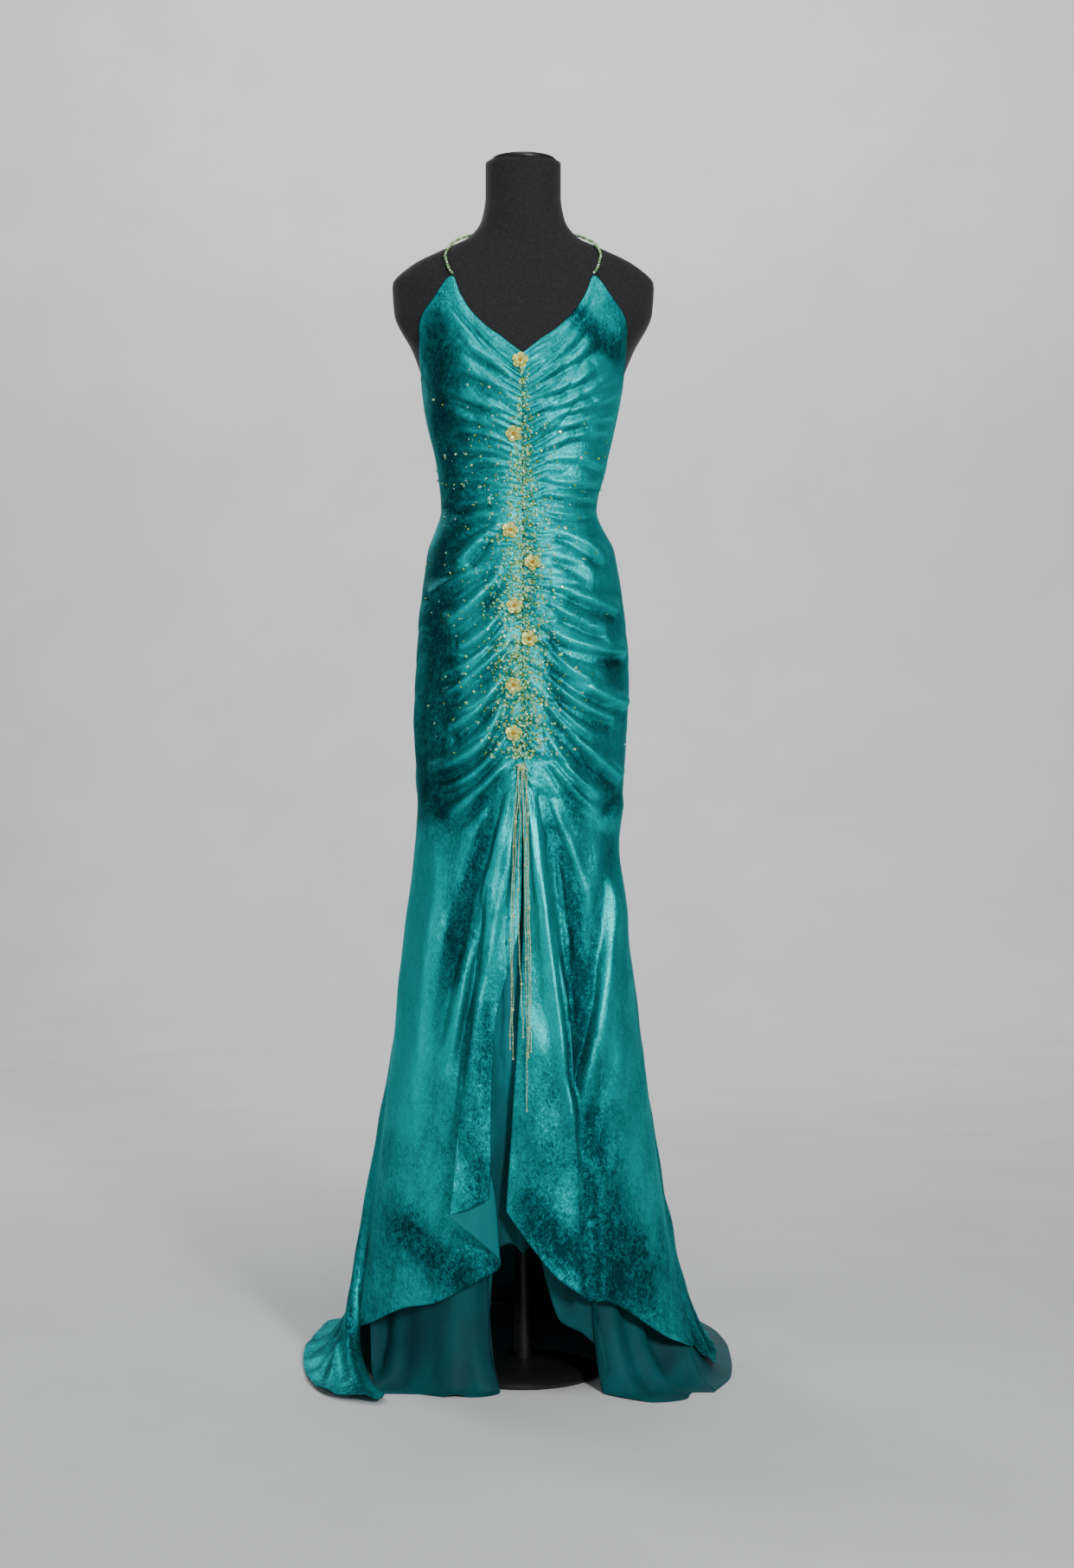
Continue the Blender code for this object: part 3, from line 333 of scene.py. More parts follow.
LEFT_ARCH = (
    Arch(0.0, 0.000, -0.117, 0.194),
    Arch(5.0, -0.018, -0.117, 0.208),
    Arch(10.5, -0.038, -0.116, 0.196),
    Arch(14.0, -0.046, -0.118, 0.100),
    Arch(17.0, -0.032, -0.126, 0.002),
    Arch(26.0, -0.062, -0.148, 0.000),
    Arch(38.0, -0.102, -0.148, 0.000),
    Arch(54.0, -0.147, -0.131, 0.000),
    Arch(72.0, -0.202, -0.126, 0.000),
    Arch(82.0, -0.215, -0.052, 0.008),
    Arch(90.0, -0.230, -0.010, 0.130),
)
RIGHT_ARCH = (
    Arch(0.0, 0.000, -0.117, 0.194),
    Arch(5.5, 0.018, -0.117, 0.205),
    Arch(10.0, 0.034, -0.116, 0.150),
    Arch(15.0, 0.052, -0.116, 0.100),
    Arch(23.0, 0.086, -0.117, 0.078),
    Arch(31.0, 0.118, -0.118, 0.036),
    Arch(37.0, 0.114, -0.129, 0.001),
    Arch(48.0, 0.180, -0.176, 0.000),
    Arch(64.0, 0.226, -0.158, 0.000),
    Arch(82.0, 0.240, -0.120, 0.000),
    Arch(90.0, 0.268, -0.120, 0.000),
)
THIGH_SHARE = 4 / 7
LINING_TOP_SHARE = 2 / 7
LEFT_LINING_END = 7 / 11
LINING_INSIDE_SHARE = 11 / 14


class Crease(NamedTuple):
    """Fold drawn on the front through three points, with its height and half-width.

    A positive height is a ridge with a trough under it, a negative one a trough alone. The tip
    is the share of its length over which the far end dies away: short for a rounded end.
    """

    x0: float
    z0: float
    x1: float
    z1: float
    x2: float
    z2: float
    height: float
    width: float
    tip: float = 0.14


LEFT_CREASES = (
    Crease(-0.010, 1.417, -0.052, 1.446, -0.092, 1.472, 0.0030, 0.0060, 0.40),
    Crease(-0.016, 1.394, -0.059, 1.420, -0.104, 1.437, 0.0034, 0.0060, 0.40),
    Crease(-0.016, 1.371, -0.069, 1.388, -0.124, 1.417, 0.0040, 0.0065, 0.40),
    Crease(-0.023, 1.348, -0.075, 1.365, -0.133, 1.400, 0.0040, 0.0060, 0.40),
    Crease(-0.023, 1.332, -0.062, 1.345, -0.104, 1.352, 0.0030, 0.0050, 0.35),
    Crease(-0.029, 1.316, -0.069, 1.322, -0.104, 1.326, 0.0030, 0.0050, 0.30),
    Crease(-0.029, 1.296, -0.056, 1.306, -0.082, 1.296, 0.0026, 0.0046, 0.25),
    Crease(-0.036, 1.273, -0.069, 1.280, -0.101, 1.280, 0.0026, 0.0046, 0.25),
    Crease(-0.030, 1.251, -0.069, 1.247, -0.104, 1.247, 0.0028, 0.0048, 0.30),
    Crease(-0.028, 1.229, -0.066, 1.226, -0.102, 1.222, 0.0028, 0.0050, 0.30),
    Crease(-0.034, 1.214, -0.072, 1.180, -0.088, 1.158, 0.0048, 0.0078),
    Crease(-0.048, 1.151, -0.090, 1.137, -0.130, 1.112, 0.0058, 0.0075),
    Crease(-0.031, 1.146, -0.066, 1.106, -0.106, 1.071, 0.0084, 0.0094),
    Crease(-0.025, 1.096, -0.059, 1.056, -0.091, 1.039, 0.0064, 0.0074),
    Crease(-0.026, 1.075, -0.070, 1.024, -0.114, 1.004, 0.0050, 0.0064),
    Crease(-0.019, 1.050, -0.066, 1.003, -0.111, 0.974, 0.0074, 0.0080),
    Crease(-0.025, 1.006, -0.059, 0.957, -0.107, 0.923, 0.0084, 0.0085),
    Crease(-0.032, 0.963, -0.062, 0.901, -0.133, 0.869, 0.0088, 0.0090),
    Crease(-0.025, 0.916, -0.066, 0.864, -0.118, 0.840, 0.0066, 0.0072),
    Crease(-0.016, 0.886, -0.059, 0.842, -0.116, 0.789, 0.0064, 0.0080, 0.30),
    Crease(-0.143, 0.840, -0.130, 0.808, -0.106, 0.784, 0.0044, 0.0080, 0.40),
    Crease(-0.088, 0.330, -0.046, 0.664, -0.010, 0.866, 0.0082, 0.0100, 0.30),
    Crease(-0.022, 0.854, -0.066, 0.630, -0.116, 0.420, 0.0080, 0.0090, 0.45),
    Crease(-0.036, 0.830, -0.092, 0.630, -0.132, 0.470, -0.0060, 0.0160, 0.45),
    Crease(-0.005, 0.866, -0.014, 0.780, -0.026, 0.670, 0.0030, 0.0042, 0.45),
    Crease(-0.034, 0.836, -0.088, 0.738, -0.130, 0.590, 0.0036, 0.0100, 0.45),
    Crease(-0.116, 0.790, -0.130, 0.620, -0.166, 0.330, 0.0038, 0.0150, 0.45),
)
RIGHT_CREASES = (
    Crease(0.013, 1.427, 0.049, 1.450, 0.081, 1.488, 0.0024, 0.0054, 0.40),
    Crease(0.013, 1.410, 0.062, 1.440, 0.112, 1.478, 0.0032, 0.0058, 0.45),
    Crease(0.013, 1.391, 0.072, 1.414, 0.126, 1.456, 0.0036, 0.0060, 0.45),
    Crease(0.016, 1.371, 0.078, 1.394, 0.132, 1.434, 0.0038, 0.0060, 0.40),
    Crease(0.036, 1.366, 0.092, 1.384, 0.136, 1.412, 0.0034, 0.0056, 0.35),
    Crease(0.030, 1.346, 0.088, 1.362, 0.134, 1.380, 0.0036, 0.0058, 0.30),
    Crease(0.034, 1.324, 0.088, 1.345, 0.122, 1.355, 0.0036, 0.0054, 0.25),
    Crease(0.032, 1.306, 0.075, 1.310, 0.116, 1.304, 0.0034, 0.0052, 0.25),
    Crease(0.029, 1.280, 0.068, 1.276, 0.106, 1.284, 0.0034, 0.0052, 0.25),
    Crease(0.029, 1.258, 0.068, 1.256, 0.102, 1.260, 0.0032, 0.0050, 0.25),
    Crease(0.026, 1.236, 0.066, 1.230, 0.100, 1.236, 0.0032, 0.0050, 0.25),
    Crease(0.024, 1.205, 0.077, 1.195, 0.121, 1.163, 0.0044, 0.0074, 0.20),
    Crease(0.030, 1.172, 0.070, 1.163, 0.104, 1.146, 0.0026, 0.0080, 0.30),
    Crease(0.042, 1.126, 0.092, 1.110, 0.135, 1.097, 0.0064, 0.0080),
    Crease(0.038, 1.102, 0.080, 1.078, 0.118, 1.068, 0.0060, 0.0074),
    Crease(0.031, 1.071, 0.080, 1.044, 0.146, 1.039, 0.0090, 0.0088, 0.10),
    Crease(0.030, 1.050, 0.062, 1.014, 0.096, 0.994, 0.0044, 0.0056),
    Crease(0.032, 1.034, 0.080, 0.991, 0.149, 0.964, 0.0090, 0.0090, 0.10),
    Crease(0.032, 1.003, 0.074, 0.964, 0.130, 0.944, 0.0080, 0.0080, 0.10),
    Crease(0.040, 0.972, 0.068, 0.938, 0.099, 0.918, 0.0048, 0.0056, 0.20),
    Crease(0.031, 0.966, 0.080, 0.907, 0.138, 0.856, 0.0088, 0.0086, 0.10),
    Crease(0.032, 0.922, 0.068, 0.866, 0.108, 0.834, 0.0058, 0.0066, 0.20),
    Crease(0.030, 0.900, 0.068, 0.845, 0.114, 0.798, 0.0062, 0.0080, 0.30),
    Crease(0.144, 0.842, 0.130, 0.812, 0.110, 0.786, 0.0044, 0.0080, 0.40),
    Crease(0.084, 0.260, 0.046, 0.560, 0.010, 0.862, 0.0088, 0.0090, 0.30),
    Crease(0.030, 0.850, 0.076, 0.640, 0.082, 0.440, -0.0066, 0.0140, 0.45),
    Crease(0.004, 0.864, 0.012, 0.780, 0.022, 0.680, 0.0028, 0.0040, 0.45),
    Crease(0.022, 0.856, 0.066, 0.760, 0.098, 0.660, 0.0046, 0.0070, 0.40),
    Crease(0.142, 0.850, 0.119, 0.590, 0.070, 0.380, 0.0080, 0.0135, 0.35),
    Crease(0.146, 0.740, 0.140, 0.560, 0.134, 0.380, 0.0030, 0.0110, 0.45),
)
BACK_CREASES = (
    Crease(0.002, 1.196, 0.072, 1.166, 0.142, 1.192, 0.0020, 0.0100, 0.60),
    Crease(0.006, 1.134, 0.082, 1.108, 0.150, 1.140, 0.0026, 0.0120, 0.60),
    Crease(0.004, 0.822, 0.076, 0.786, 0.150, 0.822, 0.0024, 0.0130, 0.60),
    Crease(0.126, 0.830, 0.104, 0.620, 0.086, 0.400, 0.0048, 0.0150, 0.50),
    Crease(0.034, 0.760, 0.052, 0.560, 0.060, 0.340, 0.0044, 0.0140, 0.50),
    Crease(0.080, 0.640, 0.096, 0.480, 0.128, 0.300, 0.0036, 0.0120, 0.50),
)
BACK_UNEVEN = 0.016

# Painted highlight and shade bands: height is the lean, and the half-width that of the band
LEFT_PAINTED_LIGHT = (
    Crease(-0.126, 1.490, -0.104, 1.290, -0.116, 1.155, -2.00, 0.032),
    Crease(-0.116, 1.412, -0.106, 1.396, -0.092, 1.384, 1.40, 0.012),
    Crease(-0.132, 1.165, -0.116, 0.980, -0.128, 0.810, -1.50, 0.034),
    Crease(-0.060, 1.190, -0.068, 1.070, -0.064, 0.980, 0.60, 0.024),
    Crease(-0.138, 0.780, -0.154, 0.580, -0.172, 0.380, 2.00, 0.030),
    Crease(-0.062, 0.830, -0.072, 0.710, -0.090, 0.580, -1.30, 0.016),
    Crease(-0.050, 0.620, -0.072, 0.480, -0.088, 0.340, -0.80, 0.012),
    Crease(-0.052, 0.540, -0.054, 0.400, -0.058, 0.270, -1.60, 0.019),
    Crease(-0.160, 0.225, -0.100, 0.172, -0.048, 0.180, -2.30, 0.038),
    Crease(-0.056, 0.140, -0.048, 0.160, -0.042, 0.185, 0.80, 0.012),
    Crease(-0.100, 0.850, -0.118, 0.840, -0.132, 0.870, -0.60, 0.020),
)
RIGHT_PAINTED_LIGHT = (
    Crease(0.066, 1.526, 0.092, 1.496, 0.116, 1.468, -2.40, 0.020),
    Crease(0.112, 1.444, 0.112, 1.370, 0.086, 1.290, 2.20, 0.018),
    Crease(0.106, 1.448, 0.122, 1.430, 0.130, 1.400, 2.20, 0.014),
    Crease(0.058, 1.300, 0.078, 1.250, 0.088, 1.190, 1.00, 0.026),
    Crease(0.086, 1.152, 0.102, 1.144, 0.118, 1.136, 1.60, 0.012),
    Crease(0.056, 1.064, 0.080, 1.048, 0.094, 1.008, 1.60, 0.014),
    Crease(0.088, 0.806, 0.108, 0.800, 0.126, 0.790, 0.90, 0.013),
    Crease(0.090, 0.910, 0.112, 0.862, 0.122, 0.820, -0.70, 0.026),
    Crease(0.128, 1.030, 0.136, 1.000, 0.140, 0.975, -0.55, 0.014),
    Crease(0.016, 0.800, 0.038, 0.680, 0.028, 0.500, 1.70, 0.017),
    Crease(0.034, 0.440, 0.040, 0.360, 0.046, 0.280, -1.10, 0.022),
    Crease(0.052, 0.750, 0.076, 0.610, 0.080, 0.430, -1.50, 0.017),
    Crease(0.098, 0.780, 0.118, 0.600, 0.178, 0.240, 1.20, 0.018),
    Crease(0.096, 0.390, 0.106, 0.290, 0.134, 0.200, -2.20, 0.028),
    Crease(0.014, 0.262, 0.066, 0.196, 0.140, 0.140, -2.60, 0.038),
)


class Tables(NamedTuple):
    """What is measured apart on each side of the dress."""

    drape: tuple
    train: tuple
    arch: tuple
    creases: tuple
    nap_and_painted_light: tuple
    side_hem_height: float


TABLES = {
    Side.LEFT: Tables(LEFT_DRAPE, LEFT_TRAIN, LEFT_ARCH, LEFT_CREASES, LEFT_PAINTED_LIGHT, 0.064),
    Side.RIGHT: Tables(RIGHT_DRAPE, RIGHT_TRAIN, RIGHT_ARCH, RIGHT_CREASES, RIGHT_PAINTED_LIGHT, 0.047),
}

# Turn in degrees of each flower, from the first CAD node to the last
FLOWER_TURNS = (10.0, 35.0, 5.0, 50.0, 20.0, 0.0, 40.0, 15.0)


class Strand(NamedTuple):
    """Beaded strand of the tassel: x at its root, middle and end, and its lowest height."""

    root_x: float
    middle_x: float
    end_x: float
    end_z: float


STRANDS = (
    Strand(-0.0072, -0.0155, -0.0166, 0.484),
    Strand(-0.0046, -0.0128, -0.0140, 0.470),
    Strand(-0.0020, -0.0060, 0.0012, 0.500),
    Strand(0.0006, 0.0040, 0.0064, 0.398),
    Strand(0.0032, 0.0070, 0.0092, 0.472),
    Strand(0.0058, 0.0098, 0.0118, 0.480),
)


class Halter(NamedTuple):
    """Route of the beaded halter over the form."""

    angle: float
    z: float


HALTER = (
    Halter(29.8, 1.5756),
    Halter(40.0, 1.5980),
    Halter(58.0, 1.6200),
    Halter(90.0, 1.6390),
    Halter(125.0, 1.6500),
    Halter(180.0, 1.6540),
)


def smooth(xs: Array, ys: Array, x: Array) -> Array:
    """Monotone cubic curve through rows: Hermite spans whose tangents are harmonic means.

    Args:
        xs: Increasing places of the rows.
        ys: Values at the rows; further axes are carried along.
        x: Places to read at.

    Returns:
        Values at x, with the further axes of ys last.
    """
    xs = np.asarray(xs, float)
    ys = np.asarray(ys, float)
    x = np.clip(np.asarray(x, float), xs[0], xs[-1])
    extra = (1,) * (ys.ndim - 1)
    step = np.diff(xs).reshape((-1,) + extra)
    slope = np.diff(ys, axis=0) / step
    tangent = np.zeros_like(ys)
    tangent[0] = slope[0]
    tangent[-1] = slope[-1]
    same = slope[1:] * slope[:-1] > 0
    before = 2 * step[1:] + step[:-1]
    after = step[1:] + 2 * step[:-1]
    mean = (before + after) / (before / np.where(same, slope[:-1], 1.0)
                               + after / np.where(same, slope[1:], 1.0))
    tangent[1:-1] = np.where(same, mean, 0.0)
    row = np.clip(np.searchsorted(xs, x, side="right") - 1, 0, len(xs) - 2)
    width = np.diff(xs)[row]
    share = ((x - xs[row]) / width).reshape(x.shape + extra)
    width = width.reshape(x.shape + extra)
    square = share * share
    cube = square * share
    return ((2 * cube - 3 * square + 1) * ys[row] + (3 * square - 2 * cube) * ys[row + 1]
            + (cube - 2 * square + share) * width * tangent[row]
            + (cube - square) * width * tangent[row + 1])


def read(rows: tuple, name: str, x: Array) -> Array:
    """A table's column read at x along its first column."""
    return smooth([row[0] for row in rows], [getattr(row, name) for row in rows], x)


def read_hem(rows: tuple, x: Array) -> Array:
    """Hem points of a table read at x along its first column."""
    return np.stack([read(rows, name, x) for name in ("hem_x", "hem_y", "hem_z")], axis=-1)


def bezier(start: Array, first: Array, second: Array, end: Array, t: Array) -> Array:
    """Cubic Bezier curve from start to end with two handles, at t from 0 to 1."""
    return ((1 - t) ** 3 * start + 3 * (1 - t) ** 2 * t * first
            + 3 * (1 - t) * t * t * second + t ** 3 * end)


def ease(x: Array) -> Array:
    """0 below 0, 1 above 1, and 3x^2 - 2x^3 between."""
    x = np.clip(x, 0.0, 1.0)
    return x * x * (3 - 2 * x)


def waves(u: Array, v: Array, seed: int, low: float, high: float, count: int = 14) -> Array:
    """Soft uneven relief: a mean of sines sin(2 pi (a u + b v) + c) of seeded a, b and c.

    Args:
        u: First coordinate.
        v: Second coordinate.
        seed: Seed of the directions and phases.
        low: Fewest waves per unit.
        high: Most waves per unit.
        count: Number of sines.

    Returns:
        Values of about unit size.
    """
    rng = np.random.default_rng(seed)
    pitch = rng.uniform(low, high, count)
    way = rng.uniform(0.0, 2 * math.pi, count)
    phase = rng.uniform(0.0, 2 * math.pi, count)
    total = np.zeros(np.broadcast(u, v).shape)
    for each in range(count):
        total += np.sin(2 * math.pi * pitch[each]
                        * (u * math.cos(way[each]) + v * math.sin(way[each])) + phase[each])
    return total / math.sqrt(count / 2)


def unit(vectors: Array) -> Array:
    """Vectors over their lengths."""
    return vectors / np.maximum(np.linalg.norm(vectors, axis=-1, keepdims=True), 1e-12)


def ring(angle: Array, z: Array, out: Array = 0.0) -> Array:
    """Point of the body: x = (half + out) |sin a|^p, y = -(depth + out) |cos a|^p, signed.

    Args:
        angle: Angle round the body in degrees.
        z: Height.
        out: Distance moved out, level with the floor.

    Returns:
        Points, with x, y, z on the last axis.
    """
    angle, z, out = np.broadcast_arrays(np.radians(angle), z, out)
    sine = np.sin(angle)
    cosine = np.cos(angle)
    half = np.where(sine < 0, read(BODY, "left", z), read(BODY, "right", z))
    depth = np.where(cosine > 0, read(BODY, "front", z), read(BODY, "back", z))
    across = np.sign(sine) * np.abs(sine) ** ROUNDNESS
    along = np.sign(cosine) * np.abs(cosine) ** ROUNDNESS
    return np.stack([(half + out) * across, -(depth + out) * along, z + 0.0], axis=-1)


def outward(grid: Array, flip: float) -> Array:
    """Unit normals of a grid: the cross product of its downward and sideways steps."""
    return unit(np.cross(np.gradient(grid, axis=0), np.gradient(grid, axis=1)) * flip)


def grid_quads(rows: int, columns: int) -> Array:
    """Quads between the points of a grid."""
    corner = (np.arange(rows - 1)[:, None] * columns + np.arange(columns - 1)).reshape(-1)
    return np.stack([corner, corner + 1, corner + columns + 1, corner + columns], axis=-1)


def shell_faces(rows: int, columns: int) -> Array:
    """Quads of a closed shell: an outer grid, the inner one turned round, and the rim."""
    outer = grid_quads(rows, columns)
    count = rows * columns
    inner = outer[:, ::-1] + count
    top = np.arange(columns)
    right = np.arange(1, rows) * columns + columns - 1
    bottom = (rows - 1) * columns + np.arange(columns - 2, -1, -1)
    left = np.arange(rows - 2, 0, -1) * columns
    rim = np.concatenate([top, right, bottom, left])
    after = np.roll(rim, -1)
    edge = np.stack([after, rim, rim + count, after + count], axis=-1)
    return np.concatenate([outer, inner, edge])


def make_object(name: str, vertices: Array, quads: Array, uv: Array | None = None,
                nap_and_painted_light: Array | None = None) -> Solid:
    """Mesh object at the origin from points and quads; faces are turned to point outwards.

    Args:
        name: Name of the piece.
        vertices: Points, one row each.
        quads: Faces of four indices; two neighbours that are the same make a triangle.
        uv: Surface coordinates of each vertex.
        nap_and_painted_light: Lean of the pile at each vertex, with painted highlights and shade.

    Returns:
        The new object, smooth shaded.
    """
    a, b, c, d = (vertices[quads[:, each]] for each in range(4))
    middle = (a + b + c + d) / 4
    volume = np.sum(np.cross(c - a, d - b) * middle)
    if volume < 0:
        quads = quads[:, ::-1]
    faces = [[corner for each, corner in enumerate(quad) if corner != quad[each - 1]]
             for quad in quads.tolist()]
    mesh = bpy.data.meshes.new(name)
    mesh.from_pydata(vertices.tolist(), [], faces)
    if uv is not None:
        layer = mesh.uv_layers.new(name="cloth")
        index = np.empty(len(mesh.loops), dtype=np.int32)
        mesh.loops.foreach_get("vertex_index", index)
        layer.data.foreach_set("uv", uv[index].astype(np.float32).reshape(-1))
    # Random streaks of the pile with painted highlights and painted shade, as a point attribute
    if nap_and_painted_light is not None:
        lean = mesh.attributes.new("nap_and_painted_light", "FLOAT", "POINT")
        lean.data.foreach_set("value", nap_and_painted_light.astype(np.float32).reshape(-1))
    mesh.shade_smooth()
    item = bpy.data.objects.new(name, mesh)
    bpy.context.scene.collection.objects.link(item)
    return item


def complete(item: Solid, *materials: Material, node: str | None = None,
             slot: str | None = None) -> Solid:
    """Give a piece its materials and let it ride with the dress.

    Args:
        item: The piece.
        materials: Its materials, in the order of their slots.
        node: CAD node that it stands for.
        slot: Name of its material slot in the library; not used.

    Returns:
        The same piece.
    """
    for material in materials:
        item.data.materials.append(material)
    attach(item, "root")
    if node:
        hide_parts(node)
    return item


class Nodes:
    """Short hand for wiring a material's nodes."""

    def __init__(self, name: str) -> None:
        """Start a material with a Principled shader."""
        self.material = bpy.data.materials.new(name)
        self.material.use_nodes = True
        self.tree = self.material.node_tree
        self.shader = self.tree.nodes["Principled BSDF"]

    def add(self, kind: str, inputs: dict | None = None, **settings: object) -> Node:
        """New node with its settings, and its inputs linked to sockets or set to values."""
        node = self.tree.nodes.new(kind)
        for key, value in settings.items():
            setattr(node, key, value)
        for key, value in (inputs or {}).items():
            if isinstance(value, Socket):
                self.tree.links.new(value, node.inputs[key])
            else:
                node.inputs[key].default_value = value
        return node

    def ramp(self, factor: Socket, stops: tuple) -> Socket:
        """Colour ramp through stops of (place, colour)."""
        node = self.add("ShaderNodeValToRGB", {"Fac": factor})
        while len(node.color_ramp.elements) < len(stops):
            node.color_ramp.elements.new(0.5)
        for element, (place, colour) in zip(node.color_ramp.elements, stops):
            element.position = place
            element.color = (*colour, 1.0)
        return node.outputs["Color"]

    def span(self, factor: Socket, low: float, high: float, clamp: bool = True) -> Socket:
        """Value from low to high as factor goes from 0 to 1."""
        node = self.add("ShaderNodeMapRange", {"Value": factor, "To Min": low, "To Max": high},
                        clamp=clamp)
        return node.outputs["Result"]

    def blend(self, first: Socket, second: Socket, share: float) -> Socket:
        """Mix of two values, the second with the share given."""
        node = self.add("ShaderNodeMapRange", {"Value": share, "To Min": first, "To Max": second})
        return node.outputs["Result"]

    def combine(self, first: Socket, second: Socket | float, operation: str = "ADD") -> Socket:
        """Sum of two values, or what another operation makes of them."""
        return self.add("ShaderNodeMath", {0: first, 1: second}, operation=operation).outputs[0]

    def place(self, scale: tuple = (1.0, 1.0, 1.0)) -> Socket:
        """Object coordinates stretched by a scale on each axis."""
        where = self.add("ShaderNodeTexCoord").outputs["Object"]
        return self.add("ShaderNodeMapping", {"Vector": where, "Scale": scale}).outputs["Vector"]

    def by_height(self, where: Socket, heights: tuple, values: tuple) -> Socket:
        """Value that goes from the first to the second between two heights of a place."""
        height = self.add("ShaderNodeSeparateXYZ", {"Vector": where}).outputs["Z"]
        node = self.add("ShaderNodeMapRange", {
            "Value": height, "From Min": heights[0], "From Max": heights[1],
            "To Min": values[0], "To Max": values[1]})
        return node.outputs["Result"]

    def noise(self, where: Socket, scale: float, detail: float = 4.0, rough: float = 0.55,
              bend: float = 0.0) -> Socket:
        """Noise value from 0 to 1."""
        return self.add("ShaderNodeTexNoise", {"Vector": where, "Scale": scale, "Detail": detail,
                                               "Roughness": rough,
                                               "Distortion": bend}).outputs["Fac"]

    def stripes(self, where: Socket, scale: float, axis: str, bend: float = 0.0) -> Socket:
        """Soft stripes across an axis."""
        return self.add("ShaderNodeTexWave", {"Vector": where, "Scale": scale,
                                              "Distortion": bend},
                        bands_direction=axis).outputs["Fac"]

    def bump(self, height: Socket, distance: float, strength: float,
             under: Socket | None = None) -> Socket:
        """Bump of a height, over another bump."""
        inputs = {"Height": height, "Distance": distance, "Strength": strength}
        if under is not None:
            inputs["Normal"] = under
        return self.add("ShaderNodeBump", inputs).outputs["Normal"]

    def link(self, socket: Socket, name: str) -> None:
        """Feed a socket of the shader."""
        self.tree.links.new(socket, self.shader.inputs[name])

    def fix(self, **values: object) -> None:
        """Set the shader's own sockets; underscores stand for spaces."""
        for key, value in values.items():
            self.shader.inputs[key.replace("_", " ")].default_value = value


@dataclass(frozen=True)
class VelvetFinish:
    """Stretch velvet with a satin lustre: crushed pile over a deep teal ground.

    A tone between dark and bright sums three sizes of mottling, the lean of the pile with
    its painted highlights and painted shade, and patches where it is pressed flat. Scales are
    in waves per metre.
    """

    dark: tuple = (0.000, 0.048, 0.058)
    bright: tuple = (0.000, 0.580, 0.590)
    stops: tuple = (0.27, 0.72)
    roughness: tuple = (0.30, 0.52)
    lie_scale: float = 30.0
    crush_scale: float = 170.0
    fine_scale: float = 520.0
    pressed_scale: float = 78.0
    pile_scale: float = 1900.0
    crush_share: float = 0.62
    fine_share: float = 0.30
    tone_of_nap_and_painted_light: float = 0.13
    pressed_heights: tuple = (0.46, 0.12)
    pressed_shares: tuple = (0.38, 0.80)
    sheen: tuple = (0.00, 0.70, 0.74, 1.0)
    highlight: tuple = (0.05, 0.60, 0.60, 1.0)

    def build(self) -> Material:
        """Material whose colour and gloss follow the pile's lie, painted highlights and shade."""
        nodes = Nodes("velvet")
        lie = nodes.noise(nodes.place((1.0, 1.0, 0.45)), self.lie_scale, 3.0, 0.60, 1.2)
        crush = nodes.noise(nodes.place((1.0, 1.0, 0.70)), self.crush_scale, 4.0, 0.72, 1.6)
        fine = nodes.noise(nodes.place((1.0, 1.0, 0.60)), self.fine_scale, 3.0, 0.70, 0.8)
        low = nodes.blend(lie, crush, self.crush_share)
        # Random streaks with painted highlights and painted shade, read from the mesh
        nap_and_painted_light = nodes.add("ShaderNodeAttribute", attribute_name="nap_and_painted_light").outputs["Fac"]
        lean = nodes.span(nap_and_painted_light, 0.0, self.tone_of_nap_and_painted_light, False)
        tone = nodes.combine(nodes.blend(low, fine, self.fine_share), lean)
        tone = nodes.combine(tone, self.pressed(nodes))
        stops = ((self.stops[0], self.dark), (self.stops[1], self.bright))
        nodes.link(nodes.ramp(tone, stops), "Base Color")
        nodes.link(nodes.span(tone, self.roughness[1], self.roughness[0]), "Roughness")
        pile = nodes.noise(nodes.place((1.0, 1.0, 0.35)), self.pile_scale, 2.0)
        under = nodes.bump(pile, 0.00025, 0.35)
        grain = nodes.bump(fine, 0.0007, 0.40, under)
        nodes.link(nodes.bump(low, 0.0022, 0.50, grain), "Normal")
        nodes.fix(Metallic=0.86, Sheen_Weight=0.09, Sheen_Roughness=0.30,
                  Sheen_Tint=self.sheen, Specular_IOR_Level=0.25,
                  Specular_Tint=self.highlight)
        return nodes.material

    def pressed(self, nodes: Nodes) -> Socket:
        """Patches where the pile is pressed flat, stronger toward the hem."""
        where = nodes.place((1.0, 1.0, 0.85))
        share = nodes.by_height(where, self.pressed_heights, self.pressed_shares)
        marks = nodes.noise(where, self.pressed_scale, 5.0, 0.78, 2.2)
        marks = nodes.combine(marks, 0.5, "SUBTRACT")
        return nodes.combine(marks, share, "MULTIPLY")


